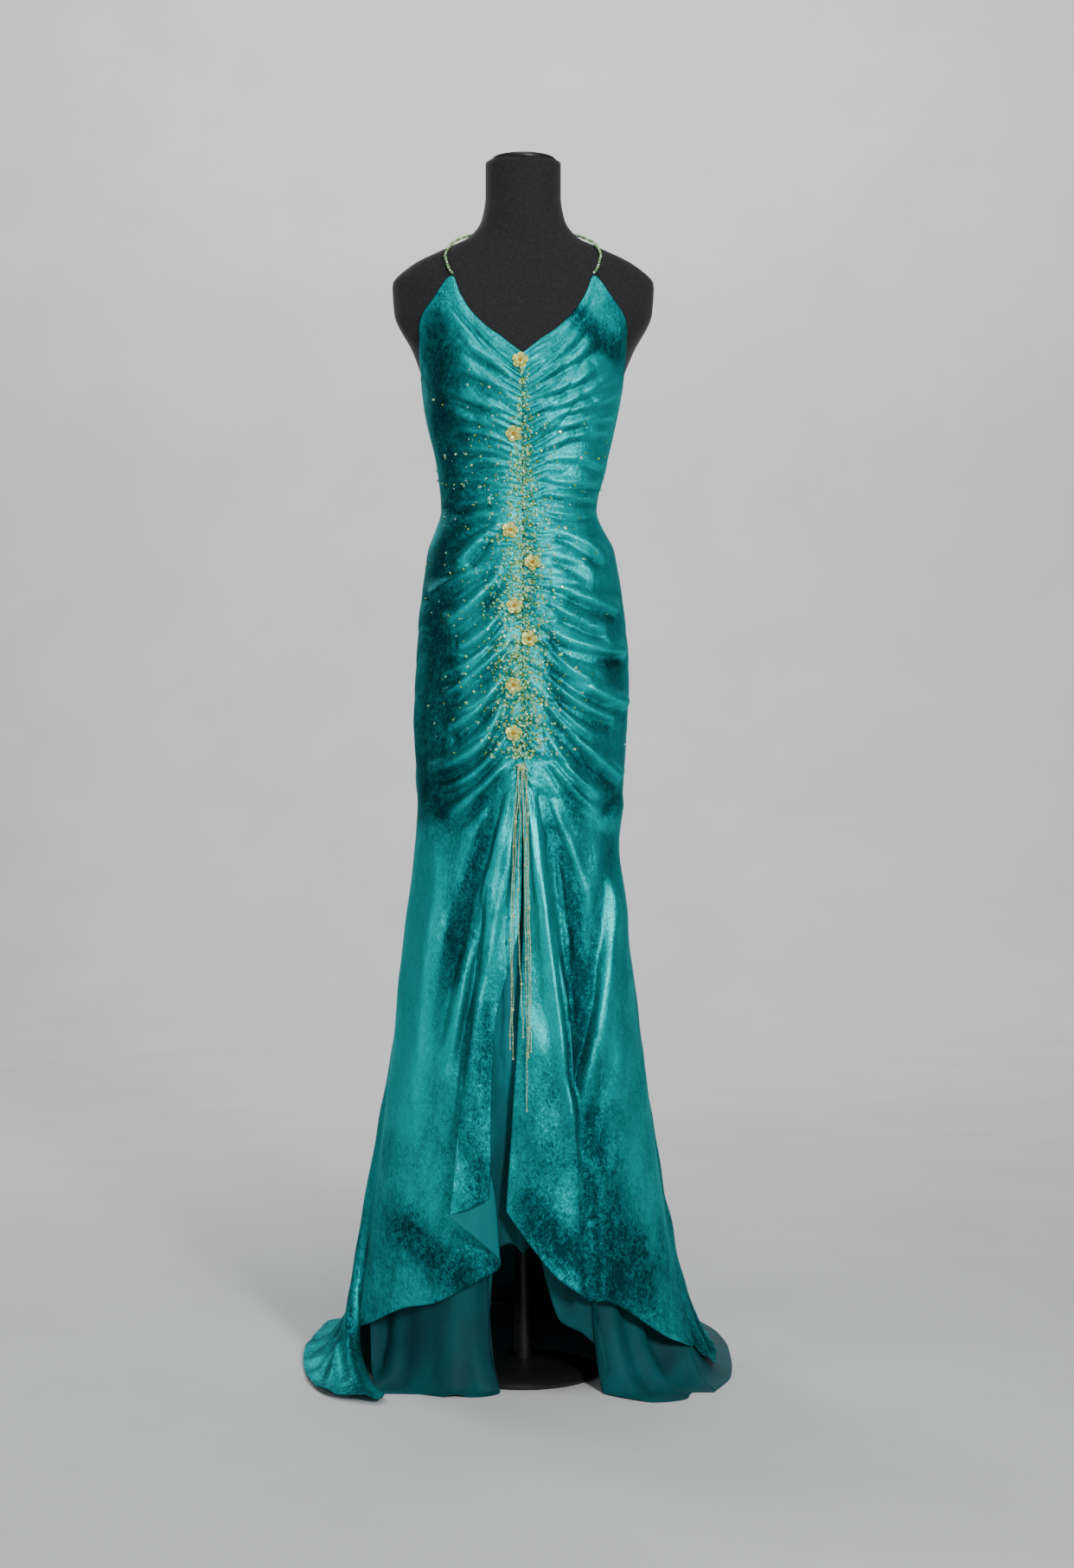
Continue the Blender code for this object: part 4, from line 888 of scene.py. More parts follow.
@dataclass(frozen=True)
class LiningFinish:
    """Matte woven lining in the velvet's colour."""

    name: str = "lining"
    dark: tuple = (0.000, 0.044, 0.052)
    bright: tuple = (0.000, 0.088, 0.101)
    # Painted light: the colour is painted paler from the first height up to the second
    painted_light_gain: float = 2.3
    painted_light_heights: tuple = (0.22, 0.36)
    painted_light_tones: tuple = (0.0, 0.35)
    threads: float = 380.0

    def build(self) -> Material:
        """Material with a fine plain weave, painted light higher up and painted shade lower down.
        """
        nodes = Nodes(self.name)
        cloud = nodes.noise(nodes.place((1.0, 1.0, 0.4)), 18.0, 4.0)
        # Painted light and shade: paler higher up, darker lower down
        painted_light_by_height = nodes.by_height(nodes.place(), self.painted_light_heights, self.painted_light_tones)
        light = tuple(self.painted_light_gain * part for part in self.bright)
        stops = ((0.35, self.dark), (0.68, self.bright), (0.95, light))
        nodes.link(nodes.ramp(nodes.combine(cloud, painted_light_by_height), stops), "Base Color")
        cloth = nodes.add("ShaderNodeUVMap", uv_map="cloth").outputs["UV"]
        weave = nodes.combine(nodes.stripes(cloth, self.threads, "X"),
                              nodes.stripes(cloth, self.threads, "Y"), "MULTIPLY")
        nodes.link(nodes.bump(weave, 0.0002, 0.30), "Normal")
        nodes.link(nodes.span(cloud, 0.58, 0.72), "Roughness")
        nodes.fix(Sheen_Weight=0.04, Sheen_Tint=(0.1, 0.7, 0.7, 1.0), Specular_IOR_Level=0.18)
        return nodes.material


@dataclass(frozen=True)
class JerseyFinish:
    """Black knitted cover of the form."""

    dark: tuple = (0.008, 0.008, 0.009)
    bright: tuple = (0.020, 0.019, 0.021)

    def build(self) -> Material:
        """Material with fine ribs and a little lint."""
        nodes = Nodes("form_jersey")
        lint = nodes.noise(nodes.place(), 240.0, 5.0, 0.7)
        nodes.link(nodes.ramp(lint, ((0.40, self.dark), (0.70, self.bright))), "Base Color")
        rib = nodes.stripes(nodes.place(), 260.0, "Z", 1.0)
        nodes.link(nodes.bump(rib, 0.0002, 0.25), "Normal")
        nodes.link(nodes.span(lint, 0.78, 0.92), "Roughness")
        nodes.fix(Sheen_Weight=0.10, Specular_IOR_Level=0.25)
        return nodes.material


@dataclass(frozen=True)
class SteelFinish:
    """Satin black paint on steel, worn a little."""

    dark: tuple = (0.012, 0.012, 0.013)
    bright: tuple = (0.030, 0.030, 0.032)

    def build(self) -> Material:
        """Material with a faint orange peel."""
        nodes = Nodes("stand_steel")
        peel = nodes.noise(nodes.place(), 420.0, 3.0)
        nodes.link(nodes.ramp(peel, ((0.35, self.dark), (0.75, self.bright))), "Base Color")
        nodes.link(nodes.span(peel, 0.34, 0.50), "Roughness")
        nodes.link(nodes.bump(peel, 0.0001, 0.2), "Normal")
        nodes.fix(Metallic=0.4)
        return nodes.material


@dataclass(frozen=True)
class BeadFinish:
    """Glossy finish of beads, sequins and petals, from two tones."""

    name: str
    dark: tuple
    bright: tuple
    metallic: float = 0.0
    roughness: tuple = (0.16, 0.30)
    scale: float = 260.0

    def build(self) -> Material:
        """Material whose tone changes from bead to bead."""
        nodes = Nodes(self.name)
        tone = nodes.noise(nodes.place(), self.scale, 2.0)
        nodes.link(nodes.ramp(tone, ((0.36, self.dark), (0.62, self.bright))), "Base Color")
        nodes.link(nodes.span(tone, self.roughness[1], self.roughness[0]), "Roughness")
        nodes.fix(Metallic=self.metallic, Coat_Weight=0.4, Coat_Roughness=0.12)
        return nodes.material


class Fabric(NamedTuple):
    """One kind of cloth: its slot, wall, rolled hem, right side and wrong side."""

    slot: str
    wall: float
    hem_roll: float
    finish: Material
    wrong_side: Material


@dataclass
class Cloth:
    """Thin shell of cloth round a grid."""

    name: str
    grid: Array
    flip: float
    fabric: Fabric
    held: str
    rests_on: str
    nap_and_painted_light: Array
    roll_place: float = 0.0022
    roll_width: float = 0.0018

    def build(self) -> Solid:
        """Shell of points grid +- normal * half, with UV in metres along the cloth.

        At a distance d from the hem, half is wall / 2 + hem_roll exp(-((d - place) / width)^2).
        The CAD node that the piece stands for is its name without the first word.
        """
        rows, columns = self.grid.shape[:2]
        fabric = self.fabric
        normal = outward(self.grid, self.flip)
        down = np.diff(self.grid, axis=0)
        across = np.diff(self.grid, axis=1)
        v = np.concatenate([np.zeros((1, columns)),
                            np.cumsum(np.linalg.norm(down, axis=-1), axis=0)])
        u = np.concatenate([np.zeros((rows, 1)),
                            np.cumsum(np.linalg.norm(across, axis=-1), axis=1)], axis=1)
        to_hem = v[-1:] - v
        roll = fabric.hem_roll * np.exp(-((to_hem - self.roll_place) / self.roll_width) ** 2)
        half = (fabric.wall / 2 + roll)[..., None]
        outer = (self.grid + normal * half).reshape(-1, 3)
        inner = (self.grid - normal * half).reshape(-1, 3)
        uv = np.stack([u, v], axis=-1).reshape(-1, 2)
        item = make_object(self.name, np.concatenate([outer, inner]),
                           shell_faces(rows, columns), np.concatenate([uv, uv]),
                           np.concatenate([self.nap_and_painted_light, self.nap_and_painted_light]))
        complete(item, fabric.finish, fabric.wrong_side, node=self.name.partition("_")[2],
                 slot=fabric.slot)
        corners = np.array([polygon.vertices[:] for polygon in item.data.polygons])
        wrong = (corners >= len(outer)).all(axis=1).astype(np.int32)
        item.data.polygons.foreach_set("material_index", wrong)
        return item


@dataclass
class Panels:
    """Points of the dress on one side: front and back velvet, and their linings."""

    side: Side

    @property
    def sign(self) -> int:
        """Sign of x on this side."""
        return self.side.value

    @property
    def tables(self) -> Tables:
        """Tables of this side."""
        return TABLES[self.side]

    @property
    def back_creases(self) -> tuple:
        """Folds of this side's back, a little lower on the left."""
        drop = BACK_UNEVEN if self.side is Side.LEFT else 0.0
        return tuple(crease._replace(
            x0=self.sign * crease.x0, x1=self.sign * crease.x1, x2=self.sign * crease.x2,
            z0=crease.z0 - drop, z1=crease.z1 - 0.6 * drop, z2=crease.z2 - drop)
            for crease in BACK_CREASES)

    def back_path(self, station: Array, share: Array) -> Array:
        """Back skirt: down the body for share 0 to 1, then a cubic Bezier curve to the edge."""
        station, share = np.broadcast_arrays(np.asarray(station, float), share)
        angle = self.sign * (90.0 + 90.0 * station)
        z = HIP_SIDE_HEIGHT + (KNEE_HEIGHT - HIP_SIDE_HEIGHT) * np.clip(share, 0.0, 1.0)
        body = ring(angle, z, FORM_CLEARANCE)
        knee = ring(angle, KNEE_HEIGHT, FORM_CLEARANCE)
        land, hem = (np.stack([read(self.tables.train, place + "_x", station),
                               read(self.tables.train, place + "_y", station),
                               np.full(station.shape, TRAIN_FLOOR)], axis=-1)
                     for place in ("land", "hem"))
        hold = knee + LAND_SHARE * (land - knee)
        hold[..., 2] = LAND_HEIGHT
        t = np.clip(share - 1.0, 0.0, 1.0)[..., None]
        return np.where(share[..., None] <= 1.0, body, bezier(knee, hold, land, hem, t))

    def seam_end(self) -> float:
        """Share of the side seam's floor stretch at which the velvet's side hem ends."""
        shares = np.linspace(1.0, 2.0, 401)
        heights = self.back_path(np.zeros(len(shares)), shares)[:, 2]
        return float(np.interp(-self.tables.side_hem_height, -heights, shares)) - 1.0

    def velvet_ends(self, stations: Array) -> Array:
        """Share of the floor stretch that the velvet covers at each station."""
        ends = read(self.tables.train, "velvet_end", stations)
        blend = ease(stations / self.tables.train[1].station)
        return self.seam_end() * (1 - blend) + ends * blend

    def relief(self, swags: tuple, down: Array, stations: Array) -> Array:
        """Ruched folds: depth sin(pi g)^p, where g carries each fold's crest to its ridge."""
        number = np.clip(down * len(swags), 0.0, len(swags) - 1e-6)
        row = number.astype(int)
        part = number - row
        bent = np.where(part < RIDGE_SHARE, 0.5 * part / RIDGE_SHARE,
                        0.5 + 0.5 * (part - RIDGE_SHARE) / (1 - RIDGE_SHARE))
        crest = np.sin(math.pi * bent) ** CREST_POWER
        name = "left_depth" if self.side is Side.LEFT else "right_depth"
        depth = np.array([getattr(swag, name) for swag in swags])[row]
        reach = np.array([swag.reach for swag in swags])[row]
        centre = CENTRE_SHARE + (1 - CENTRE_SHARE) * ease(stations / 0.10)
        fade = 1 - ease((stations - 0.55 * reach) / (0.55 * reach))
        fade = fade * (1 - SIDE_CALM * ease((stations - 0.35) / 0.45))
        return depth * crest * centre * fade

    def gathers(self, down: Array, stations: Array, count: int) -> Array:
        """Fine pleats where the seam is drawn up, of uneven depth, dying away from the seam.

        Height h sin(2 pi n d + w) exp(-(s / reach)^1.4), with n pleats down the zone and w a
        slow wander, so that they run together as they leave the seam.
        """
        wander = 1.3 * waves(3 * stations, 2.2 * down, count + self.sign, 0.5, 1.5, 8)
        strength = 1 + 0.45 * waves(2 * stations, 7 * down, count + 5 * self.sign, 0.6, 1.8, 8)
        reach = GATHER_REACH * (1 + 0.4 * waves(0 * stations, 9 * down, count + 2, 0.6, 1.6, 6))
        pleat = np.sin(2 * math.pi * count * down + wander)
        fade = np.exp(-(stations / np.maximum(reach, 0.05)) ** 1.4)
        return GATHER_DEPTH * pleat * strength * fade

    def beside(self, grid: Array, crease: Crease, reach: float) -> tuple:
        """Where the points near a fold's curve lie beside it.

        The curve is the quadratic in x and z through the fold's three points.

        Args:
            grid: Points of the panel.
            crease: The fold.
            reach: How many half-widths out still count as near.

        Returns:
            Mask of the near points, then for those: height above the curve over its width
            there, share along it, and how far past either end over the width.
        """
        x = grid[..., 0]
        z = grid[..., 2]
        t = np.linspace(0.0, 1.0, 81)
        line_x = (1 - t) ** 2 * crease.x0 + t * t * crease.x2
        line_z = (1 - t) ** 2 * crease.z0 + t * t * crease.z2
        line_x += 2 * t * (1 - t) * (2 * crease.x1 - (crease.x0 + crease.x2) / 2)
        line_z += 2 * t * (1 - t) * (2 * crease.z1 - (crease.z0 + crease.z2) / 2)
        margin = reach * crease.width
        near = ((x > line_x.min() - margin) & (x < line_x.max() + margin)
                & (z > line_z.min() - margin) & (z < line_z.max() + margin))
        dx = x[near][:, None] - line_x
        dz = z[near][:, None] - line_z
        nearest = np.argmin(dx * dx + dz * dz, axis=1)
        dx = np.take_along_axis(dx, nearest[:, None], axis=1)[:, 0]
        dz = np.take_along_axis(dz, nearest[:, None], axis=1)[:, 0]
        along_x = np.gradient(line_x)[nearest]
        along_z = np.gradient(line_z)[nearest]
        length = np.hypot(along_x, along_z)
        width = crease.width * (0.62 + 0.55 * t[nearest])
        above = (dz * along_x - dx * along_z) / length * self.sign / width
        ends = (nearest == 0) | (nearest == len(t) - 1)
        past = np.where(ends, (dx * along_x + dz * along_z) / length, 0.0) / width
        return near, above, t[nearest], past

    def folds(self, grid: Array, creases: tuple) -> Array:
        """Height of listed folds at each point of a grid.

        With d the distance above the curve over its width, a ridge is exp(-(d / 1.5)^2) above
        and exp(-(d / 0.75)^2) below, less FOLD_TROUGH exp(-((d + 1.7) / 0.9)^2). It swells
        toward its far end, which closes in a round tip.
        """
        total = np.zeros(grid.shape[:2])
        for crease in creases:
            near, above, place, past = self.beside(grid, crease, 4.5)
            start = 0.0 if crease.tip > LONG_TIP else 0.35
            fade = start + (1 - start) * ease(place / 0.35)
            fade = fade * np.sqrt(ease((1 - place) / crease.tip))
            fade = fade * (0.80 + 0.45 * place) * np.exp(-(past / 0.8) ** 2)
            shape = np.exp(-(above / np.where(above > 0, 1.5, 0.75)) ** 2)
            if crease.height > 0:
                shape = shape - FOLD_TROUGH * np.exp(-((above + 1.7) / 0.9) ** 2)
            total[near] += FOLD_GAIN * crease.height * shape * fade
        return total

    def nap_and_painted_light(self, grid: Array, front: bool) -> Array:
        """Lean of the pile at each point, as painted light: above 0 lighter, below 0 darker.

        Long streaks of random tone run down the cloth and the seams get painted shade, besides
        the painted highlights and painted shade of the front or the back. With m the most lean,
        the sum s is returned as m tanh(s / m), so no patch loses its mottling.
        """
        lean = STREAK_LEAN * waves(grid[..., 0] + 0.6 * grid[..., 1], grid[..., 2] * 0.22,
                                   61 + self.sign, 6.0, 26.0)
        if front:
            lean += self.front_lean(grid)
        else:
            lean += self.back_lean(grid)
            lean[:, 0] -= SEAM_SHADE
        lean[:, -1] -= SEAM_SHADE
        return MOST_NAP_AND_PAINTED_LIGHT * np.tanh(lean / MOST_NAP_AND_PAINTED_LIGHT)

    def front_lean(self, grid: Array) -> Array:
        """Painted light on the front's pile: bands, folds and the ends of short folds.

        A band along a listed curve adds its lean times exp(-d^2 - past^2), painted highlight
        where the lean is above 0 and painted shade below. A fold adds a share of its height,
        painted highlight on its crest and painted shade in its groove, more of it in the grooves.
        Where a fold of half-width w ends short there is a painted highlight spot exp(-(r / 1.3
        w)^2).
        """
        lean = np.zeros(grid.shape[:2])
        for band in self.tables.nap_and_painted_light:
            near, above, _, past = self.beside(grid, band, 3.0)
            lean[near] += band.height * np.exp(-above ** 2 - past ** 2)
        fold = self.folds(grid, self.tables.creases)
        lean += FOLD_PAINTED_LIGHT * fold * np.where(fold < 0, GROOVE_SHADE, 1.0)
        for crease in self.tables.creases:
            if crease.tip <= LONG_TIP:
                away = np.hypot(grid[..., 0] - crease.x2, grid[..., 2] - crease.z2)
                lean += HOOK_PAINTED_HIGHLIGHT * np.exp(-(away / (1.3 * crease.width)) ** 2)
        return lean

    def back_lean(self, grid: Array) -> Array:
        """Painted light of the back's pile: painted highlight and shade on its folds, and dark
        stripes of painted shade that fade in to the floor.
        """
        stations = np.linspace(0.0, 1.0, grid.shape[1]) + 0.0 * grid[..., 2]
        bend = 1.5 * waves(2 * stations, 4 * grid[..., 2], 67 + self.sign, 0.5, 1.5, 8)
        fan = np.sin(2 * math.pi * FLOOR_PLEATS * stations + bend)
        lean = (STRIPE_PAINTED_SHADE * fan - TRAIN_SHADE) * ease((FAN_TOP - grid[..., 2]) / FAN_FADE)
        return lean + 0.5 * FOLD_PAINTED_LIGHT * self.folds(grid, self.back_creases)

    def front(self, rows: tuple, columns: int) -> Array:
        """Middle surface of the front velvet panel.

        Args:
            rows: Numbers of rows over the bust, hip, thigh, knee and hem stretches.
            columns: Number of stations, crowded toward the centre front.

        Returns:
            Grid of points.
        """
        share = np.linspace(0.0, 1.0, columns)
        stations = np.interp(share, [0.0, CROWDED_COLUMNS, 1.0], [0.0, CROWDED_STATIONS, 1.0])
        bust = np.linspace(0.0, 1.0, rows[0], endpoint=False)[:, None]
        angle = read(TOP_EDGE, "angle", stations) * (1 - bust) + 90.0 * stations * bust
        height = read(TOP_EDGE, "z", stations) * (1 - bust) + WAIST_HEIGHT * bust
        upper = ring(self.sign * angle, height, FORM_CLEARANCE)
        hip = np.linspace(0.0, 1.0, rows[1])[:, None]
        angle = 90.0 * (stations * (1 - hip) + stations ** HIP_CROWDING * hip)
        centre = WAIST_HEIGHT + (GATHER_HEIGHT - WAIST_HEIGHT) * hip
        droop = 1 - (1 - stations) ** SWAG_CURVE
        height = centre - (GATHER_HEIGHT - HIP_SIDE_HEIGHT) * hip ** HIP_DROOP_POWER * droop
        lower = ring(self.sign * angle, height, FORM_CLEARANCE)
        points = np.concatenate([upper, lower, self.front_skirt(stations, rows[2:])])
        lift = self.front_lift(points, stations, bust, hip)
        points = points + outward(points, self.sign) * lift[..., None]
        points[:, 0, 0] += self.sign * SEAM_GAP / 2
        return points

    def front_lift(self, points: Array, stations: Array, bust: Array, hip: Array) -> Array:
        """Height of the front's folds over its smooth surface.

        Args:
            points: Grid of the smooth surface.
            stations: Station of each column.
            bust: Share of the way from top edge to waist, for the first rows.
            hip: Share of the way from waist to hip line, for the rows after them.

        Returns:
            Height of ruched folds, gathers, listed folds and soft relief at each point.
        """
        inner = 1 - ease((stations - 0.8) / 0.2)
        zones = []
        for down, swags, pleats, wander, seed, most in (
                (bust, BUST_SWAGS, BUST_GATHERS, 0.16, 3, 1.6),
                (hip, HIP_SWAGS, HIP_GATHERS, 0.22, 9, 1.8)):
            shift = wander * waves(stations, down, seed + self.sign, 0.6, most, 8) * inner
            fold = self.relief(swags, np.clip(down + shift / len(swags), 0, 1), stations)
            zones.append(SWAG_GAIN * fold + self.gathers(down, stations, pleats))
        skirt_rows = len(points) - len(bust) - len(hip)
        lift = np.concatenate([*zones, np.zeros((skirt_rows, len(stations)))])
        near_side = ease((stations - 0.93) / 0.07)
        lift = lift + self.folds(points, self.tables.creases) * (1 - near_side)
        soft = waves(points[..., 0], points[..., 2] * 0.6, 21 + self.sign, 8.0, 26.0)
        quiet = ease((0.86 - points[..., 2]) / 0.1)
        lift = lift + soft * (FORM_RELIEF + LOOSE_RELIEF * quiet) * (1 - near_side)
        lift = lift * ease((np.arange(len(points))[:, None] + 2) / 8)
        on_form = ease((points[..., 2] - FORM_BOTTOM + 0.02) / 0.02)
        return np.maximum(lift, -ON_FORM_TROUGH * on_form - FREE_TROUGH * (1 - on_form))

    def levels(self, rows: tuple) -> Array:
        """Rows below the hip line: 1 at the thigh, 2 at the knee and 3 at the hem."""
        return np.concatenate([start + np.linspace(0.0, 1.0, count + 1)[1:]
                               for start, count in enumerate(rows)])

    def shares(self, level: Array) -> Array:
        """Share of the back path at each level as far as the knee."""
        return smooth([0.0, 1.0, 2.0], [0.0, THIGH_SHARE, 1.0], np.minimum(level, 2.0))

    def front_skirt(self, stations: Array, rows: tuple) -> Array:
        """Front panel below the hip line, a smooth curve through hip, thigh, knee and hem."""
        droop = 1 - (1 - stations) ** SWAG_CURVE
        hip = ring(self.sign * 90.0 * stations ** HIP_CROWDING,
                   GATHER_HEIGHT - (GATHER_HEIGHT - HIP_SIDE_HEIGHT) * droop, FORM_CLEARANCE)
        table = self.tables.drape
        thigh = ring(self.sign * read(table, "thigh_angle", stations), THIGH_HEIGHT,
                     FORM_CLEARANCE + read(table, "thigh_out", stations))
        knee = ring(self.sign * read(table, "knee_angle", stations), KNEE_HEIGHT,
                    FORM_CLEARANCE + read(table, "knee_out", stations))
        hem = read_hem(table, stations)
        ripple = waves(3 * stations, 0 * stations, 71 + self.sign, 0.6, 2.2, 8)
        hem[:, 2] += HEM_RIPPLE_UP * ripple * ease((1 - stations) / 0.1)
        hem[:, 1] -= HEM_RIPPLE_OUT * ripple * ease((1 - stations) / 0.1)
        level = self.levels(rows)
        grid = smooth(np.arange(4.0), np.stack([hip, thigh, knee, hem]), level)
        share = self.shares(level) + np.clip(level - 2.0, 0.0, 1.0) * self.seam_end()
        seam = self.back_path(np.zeros(len(share)), share)[:, None]
        nearness = ease((stations - 0.72) / 0.28)[None, :, None]
        return grid + (seam - grid[:, -1:]) * nearness

    def back(self, rows: tuple, columns: int, seam: Array) -> Array:
        """Middle surface of the back velvet panel, joined to the front's side edge.

        Args:
            rows: Numbers of rows, the same as the front's.
            columns: Number of stations.
            seam: The front's side edge, row by row.

        Returns:
            Grid of points, with the train's standing ripples and its pleats on the floor.
        """
        stations = np.linspace(0.0, 1.0, columns)
        bust = np.linspace(0.0, 1.0, rows[0], endpoint=False)[:, None]
        drop = ease(stations * 1.05) ** 0.8
        top = SIDE_TOP_HEIGHT + (BACK_TOP_HEIGHT - SIDE_TOP_HEIGHT) * drop
        height = top * (1 - bust) + WAIST_HEIGHT * bust
        angle = self.sign * (90.0 + 90.0 * stations)
        upper = ring(angle, height, FORM_CLEARANCE)
        hip = np.linspace(0.0, 1.0, rows[1])[:, None]
        height = (WAIST_HEIGHT + (GATHER_HEIGHT - WAIST_HEIGHT) * hip
                  - (GATHER_HEIGHT - HIP_SIDE_HEIGHT) * hip ** HIP_DROOP_POWER)
        lower = ring(angle, height, FORM_CLEARANCE)
        level = self.levels(rows[2:])[:, None]
        past = np.clip(level - 2.0, 0.0, 1.0)
        path = self.shares(level) + past * self.velvet_ends(stations)
        skirt = self.back_path(np.broadcast_to(stations, path.shape), path)
        points = np.concatenate([upper, lower, skirt])
        edge = np.ones((1, 1))
        fade = (1 - ease(stations / 0.6)) * SWAG_GAIN
        high = self.relief(BUST_SWAGS, bust, edge) * fade
        low = self.relief(HIP_SWAGS, hip, edge) * fade
        wave = 0.5 - 0.5 * np.cos(2 * math.pi * TRAIN_RIPPLES * stations)
        middle = ease(stations / 0.12) * ease((1 - stations) / 0.10)
        growth = ease((path - 0.4) / 1.1) * (1 - 0.55 * ease((path - 1.55) / 0.45))
        lift = np.concatenate([high, low, TRAIN_RIPPLE_DEPTH * wave * middle * growth])
        sag = waves(stations * 0.5, points[..., 2] * 2.2, 33 + self.sign, 1.0, 3.0)
        swell = ease((1.13 - points[..., 2]) / 0.2) * ease((points[..., 2] - 0.72) / 0.2)
        soft = waves(points[..., 0] + points[..., 1], points[..., 2] * 0.6, 41 + self.sign,
                     8.0, 24.0)
        lift = lift + (sag * BACK_SAG * swell + soft * BACK_RELIEF
                       + self.folds(points, self.back_creases)) * middle
        lift = np.maximum(lift, -BACK_TROUGH)
        points = points + outward(points, self.sign) * lift[..., None]
        points = points + self.floor_pleats(stations, path, len(points))
        join = 1 - ease(stations / 0.10)
        points = points + (seam - points[:, 0])[:, None] * join[None, :, None]
        points[:, -1, 0] += self.sign * SEAM_GAP / 2
        points[..., 2] = np.maximum(points[..., 2], TRAIN_FLOOR - 0.0005)
        return points

    def floor_pleats(self, stations: Array, path: Array, count: int) -> Array:
        """Upward lift of the cloth that lies on the floor, in uneven radiating pleats."""
        bend = 1.2 * waves(2 * stations, 1.5 * path, 61 + self.sign, 0.4, 1.2, 6)
        wave = np.cos(2 * math.pi * FLOOR_PLEATS * stations + bend)
        strength = 0.55 + 0.35 * waves(5 * stations, 0 * path, 63 + self.sign, 0.5, 1.2, 6)
        ends = ease(stations / 0.06) * ease((1 - stations) / 0.08)
        growth = ease((path - 1.30) / 0.45) * (1 - 0.45 * ease((path - 1.85) / 0.15))
        lift = np.zeros((count, len(stations), 3))
        crest = np.clip(wave, -0.3, 1.0) + 0.3
        lift[-len(path):, :, 2] = PLEAT_LIFT * crest * np.clip(strength, 0.1, 1.0) * ends * growth
        return lift

    def lining_levels(self, rows: int) -> tuple:
        """Shares of the lining's rows down the body, and along its floor stretch."""
        body = np.linspace(LINING_TOP_SHARE, 1.0, rows // 3)
        lower = np.linspace(0.0, 1.0, rows - rows // 3 + 1)[1:]
        return body, lower

    def back_lining(self, rows: int, columns: int) -> Array:
        """Back lining: the velvet's path moved in, and past its edge where it trails."""
        stations = np.linspace(0.0, 1.0, columns)
        body, lower = self.lining_levels(rows)
        ends = self.velvet_ends(stations)
        if self.side is Side.LEFT:
            path = lower[:, None] * LEFT_LINING_END * ends
        else:
            last = read(self.tables.train, "lining_end", stations)
            path = smooth([0.0, LINING_INSIDE_SHARE, 1.0], np.stack([0 * ends, ends, last]),
                          lower)
        share = np.concatenate([body[:, None] + 0 * stations, 1.0 + path])
        grid = self.back_path(np.broadcast_to(stations, share.shape), share)
        grid = grid - outward(grid, self.sign) * LINING_INSET
        grid[:, -1, 0] = self.sign * SEAM_GAP / 2
        return self.above_floor(grid)

    def front_lining(self, rows: int, columns: int) -> Array:
        """Front lining: down the body, then a Bezier curve to the arch or the floor edge."""
        share = np.linspace(0.0, 1.0, columns)
        angles = smooth([0.0, 0.35, 1.0], [0.0, 22.0, 90.0], share)
        body, lower = self.lining_levels(rows)
        inside = FORM_CLEARANCE - LINING_INSET - LINING_EASE * ease((90.0 - angles) / 20.0)
        z = HIP_SIDE_HEIGHT + (KNEE_HEIGHT - HIP_SIDE_HEIGHT) * body[:, None]
        upper = ring(self.sign * angles, z, inside)
        knee = ring(self.sign * angles, KNEE_HEIGHT, inside)
        hem = self.above_floor(read_hem(self.tables.arch, angles))
        lies = ease(1.0 - hem[:, 2] / 0.06)
        hold = knee.copy()
        hold[:, 2] = hem[:, 2] + (KNEE_HEIGHT - hem[:, 2]) * (0.66 - 0.36 * lies)
        land = knee * lies[:, None] + (knee + 2 * hem) / 3 * (1 - lies[:, None])
        land[:, 2] = hem[:, 2] + (KNEE_HEIGHT - hem[:, 2]) * 0.33 * (1 - lies)
        drop = bezier(knee, hold, land, hem, lower[:, None, None])
        grid = np.concatenate([upper, drop])
        seam = self.back_lining(rows, 12)[:, 0]
        pull = ease((share - 0.90) / 0.10)[None, :, None]
        grid = grid + (seam[:, None] - grid[:, -1:]) * pull
        fall = ease((KNEE_HEIGHT - grid[..., 2]) / KNEE_HEIGHT)
        wave = waves(angles / 30.0 + 0 * fall, 0.4 * grid[..., 2], 51 + self.sign, 0.6, 1.6, 6)
        ends = ease(share / 0.05) * ease((1 - share) / 0.1)
        flare = LINING_FLARE * fall * (1 + wave) * ends
        grid = grid - outward(grid, self.sign) * flare[..., None]
        grid[:, 0, 0] += self.sign * SEAM_GAP / 2
        return self.above_floor(grid)

    def above_floor(self, grid: Array) -> Array:
        """The grid with no point lower than the cloth's rest on the floor."""
        grid = grid.copy()
        grid[..., 2] = np.maximum(grid[..., 2], FLOOR_CLEARANCE)
        return grid


@dataclass
class Dress:
    """Velvet panels and linings of both sides."""

    velvet: Fabric
    lining: Fabric
    rows: tuple = (104, 178, 36, 28, 98)
    front_columns: int = 104
    back_columns: int = 56
    lining_rows: int = 120
    lining_columns: int = 80

    def build(self) -> dict:
        """Every sheet, and the front grids by side."""
        grids = {}
        for side, word in ((Side.LEFT, "left"), (Side.RIGHT, "right")):
            panels = Panels(side)
            front = panels.front(self.rows, self.front_columns)
            grids[side] = front
            self.sheet("velvet_front_" + word, front, side, "gathered", "form_torso")
            back = panels.back(self.rows, self.back_columns, front[:, -1])
            self.sheet("velvet_back_" + word, back, side, "draped", "form_torso")
            lining = panels.front_lining(self.lining_rows, self.lining_columns)
            self.sheet("skirt_lining_front_" + word, lining, side, "hung",
                       "velvet_front_" + word)
            if side is Side.RIGHT:
                tail = panels.back_lining(self.lining_rows, self.lining_columns)
                self.sheet("skirt_lining_back_" + word, tail, side, "hung",
                           "velvet_back_" + word)
        return grids

    def sheet(self, name: str, grid: Array, side: Side, held: str, rests_on: str) -> Solid:
        """One sheet of velvet or lining round its grid."""
        fabric = self.lining if "lining" in name else self.velvet
        nap_and_painted_light = Panels(side).nap_and_painted_light(grid, "front" in name)
        return Cloth(name, grid, side.value, fabric, held, rests_on, nap_and_painted_light).build()


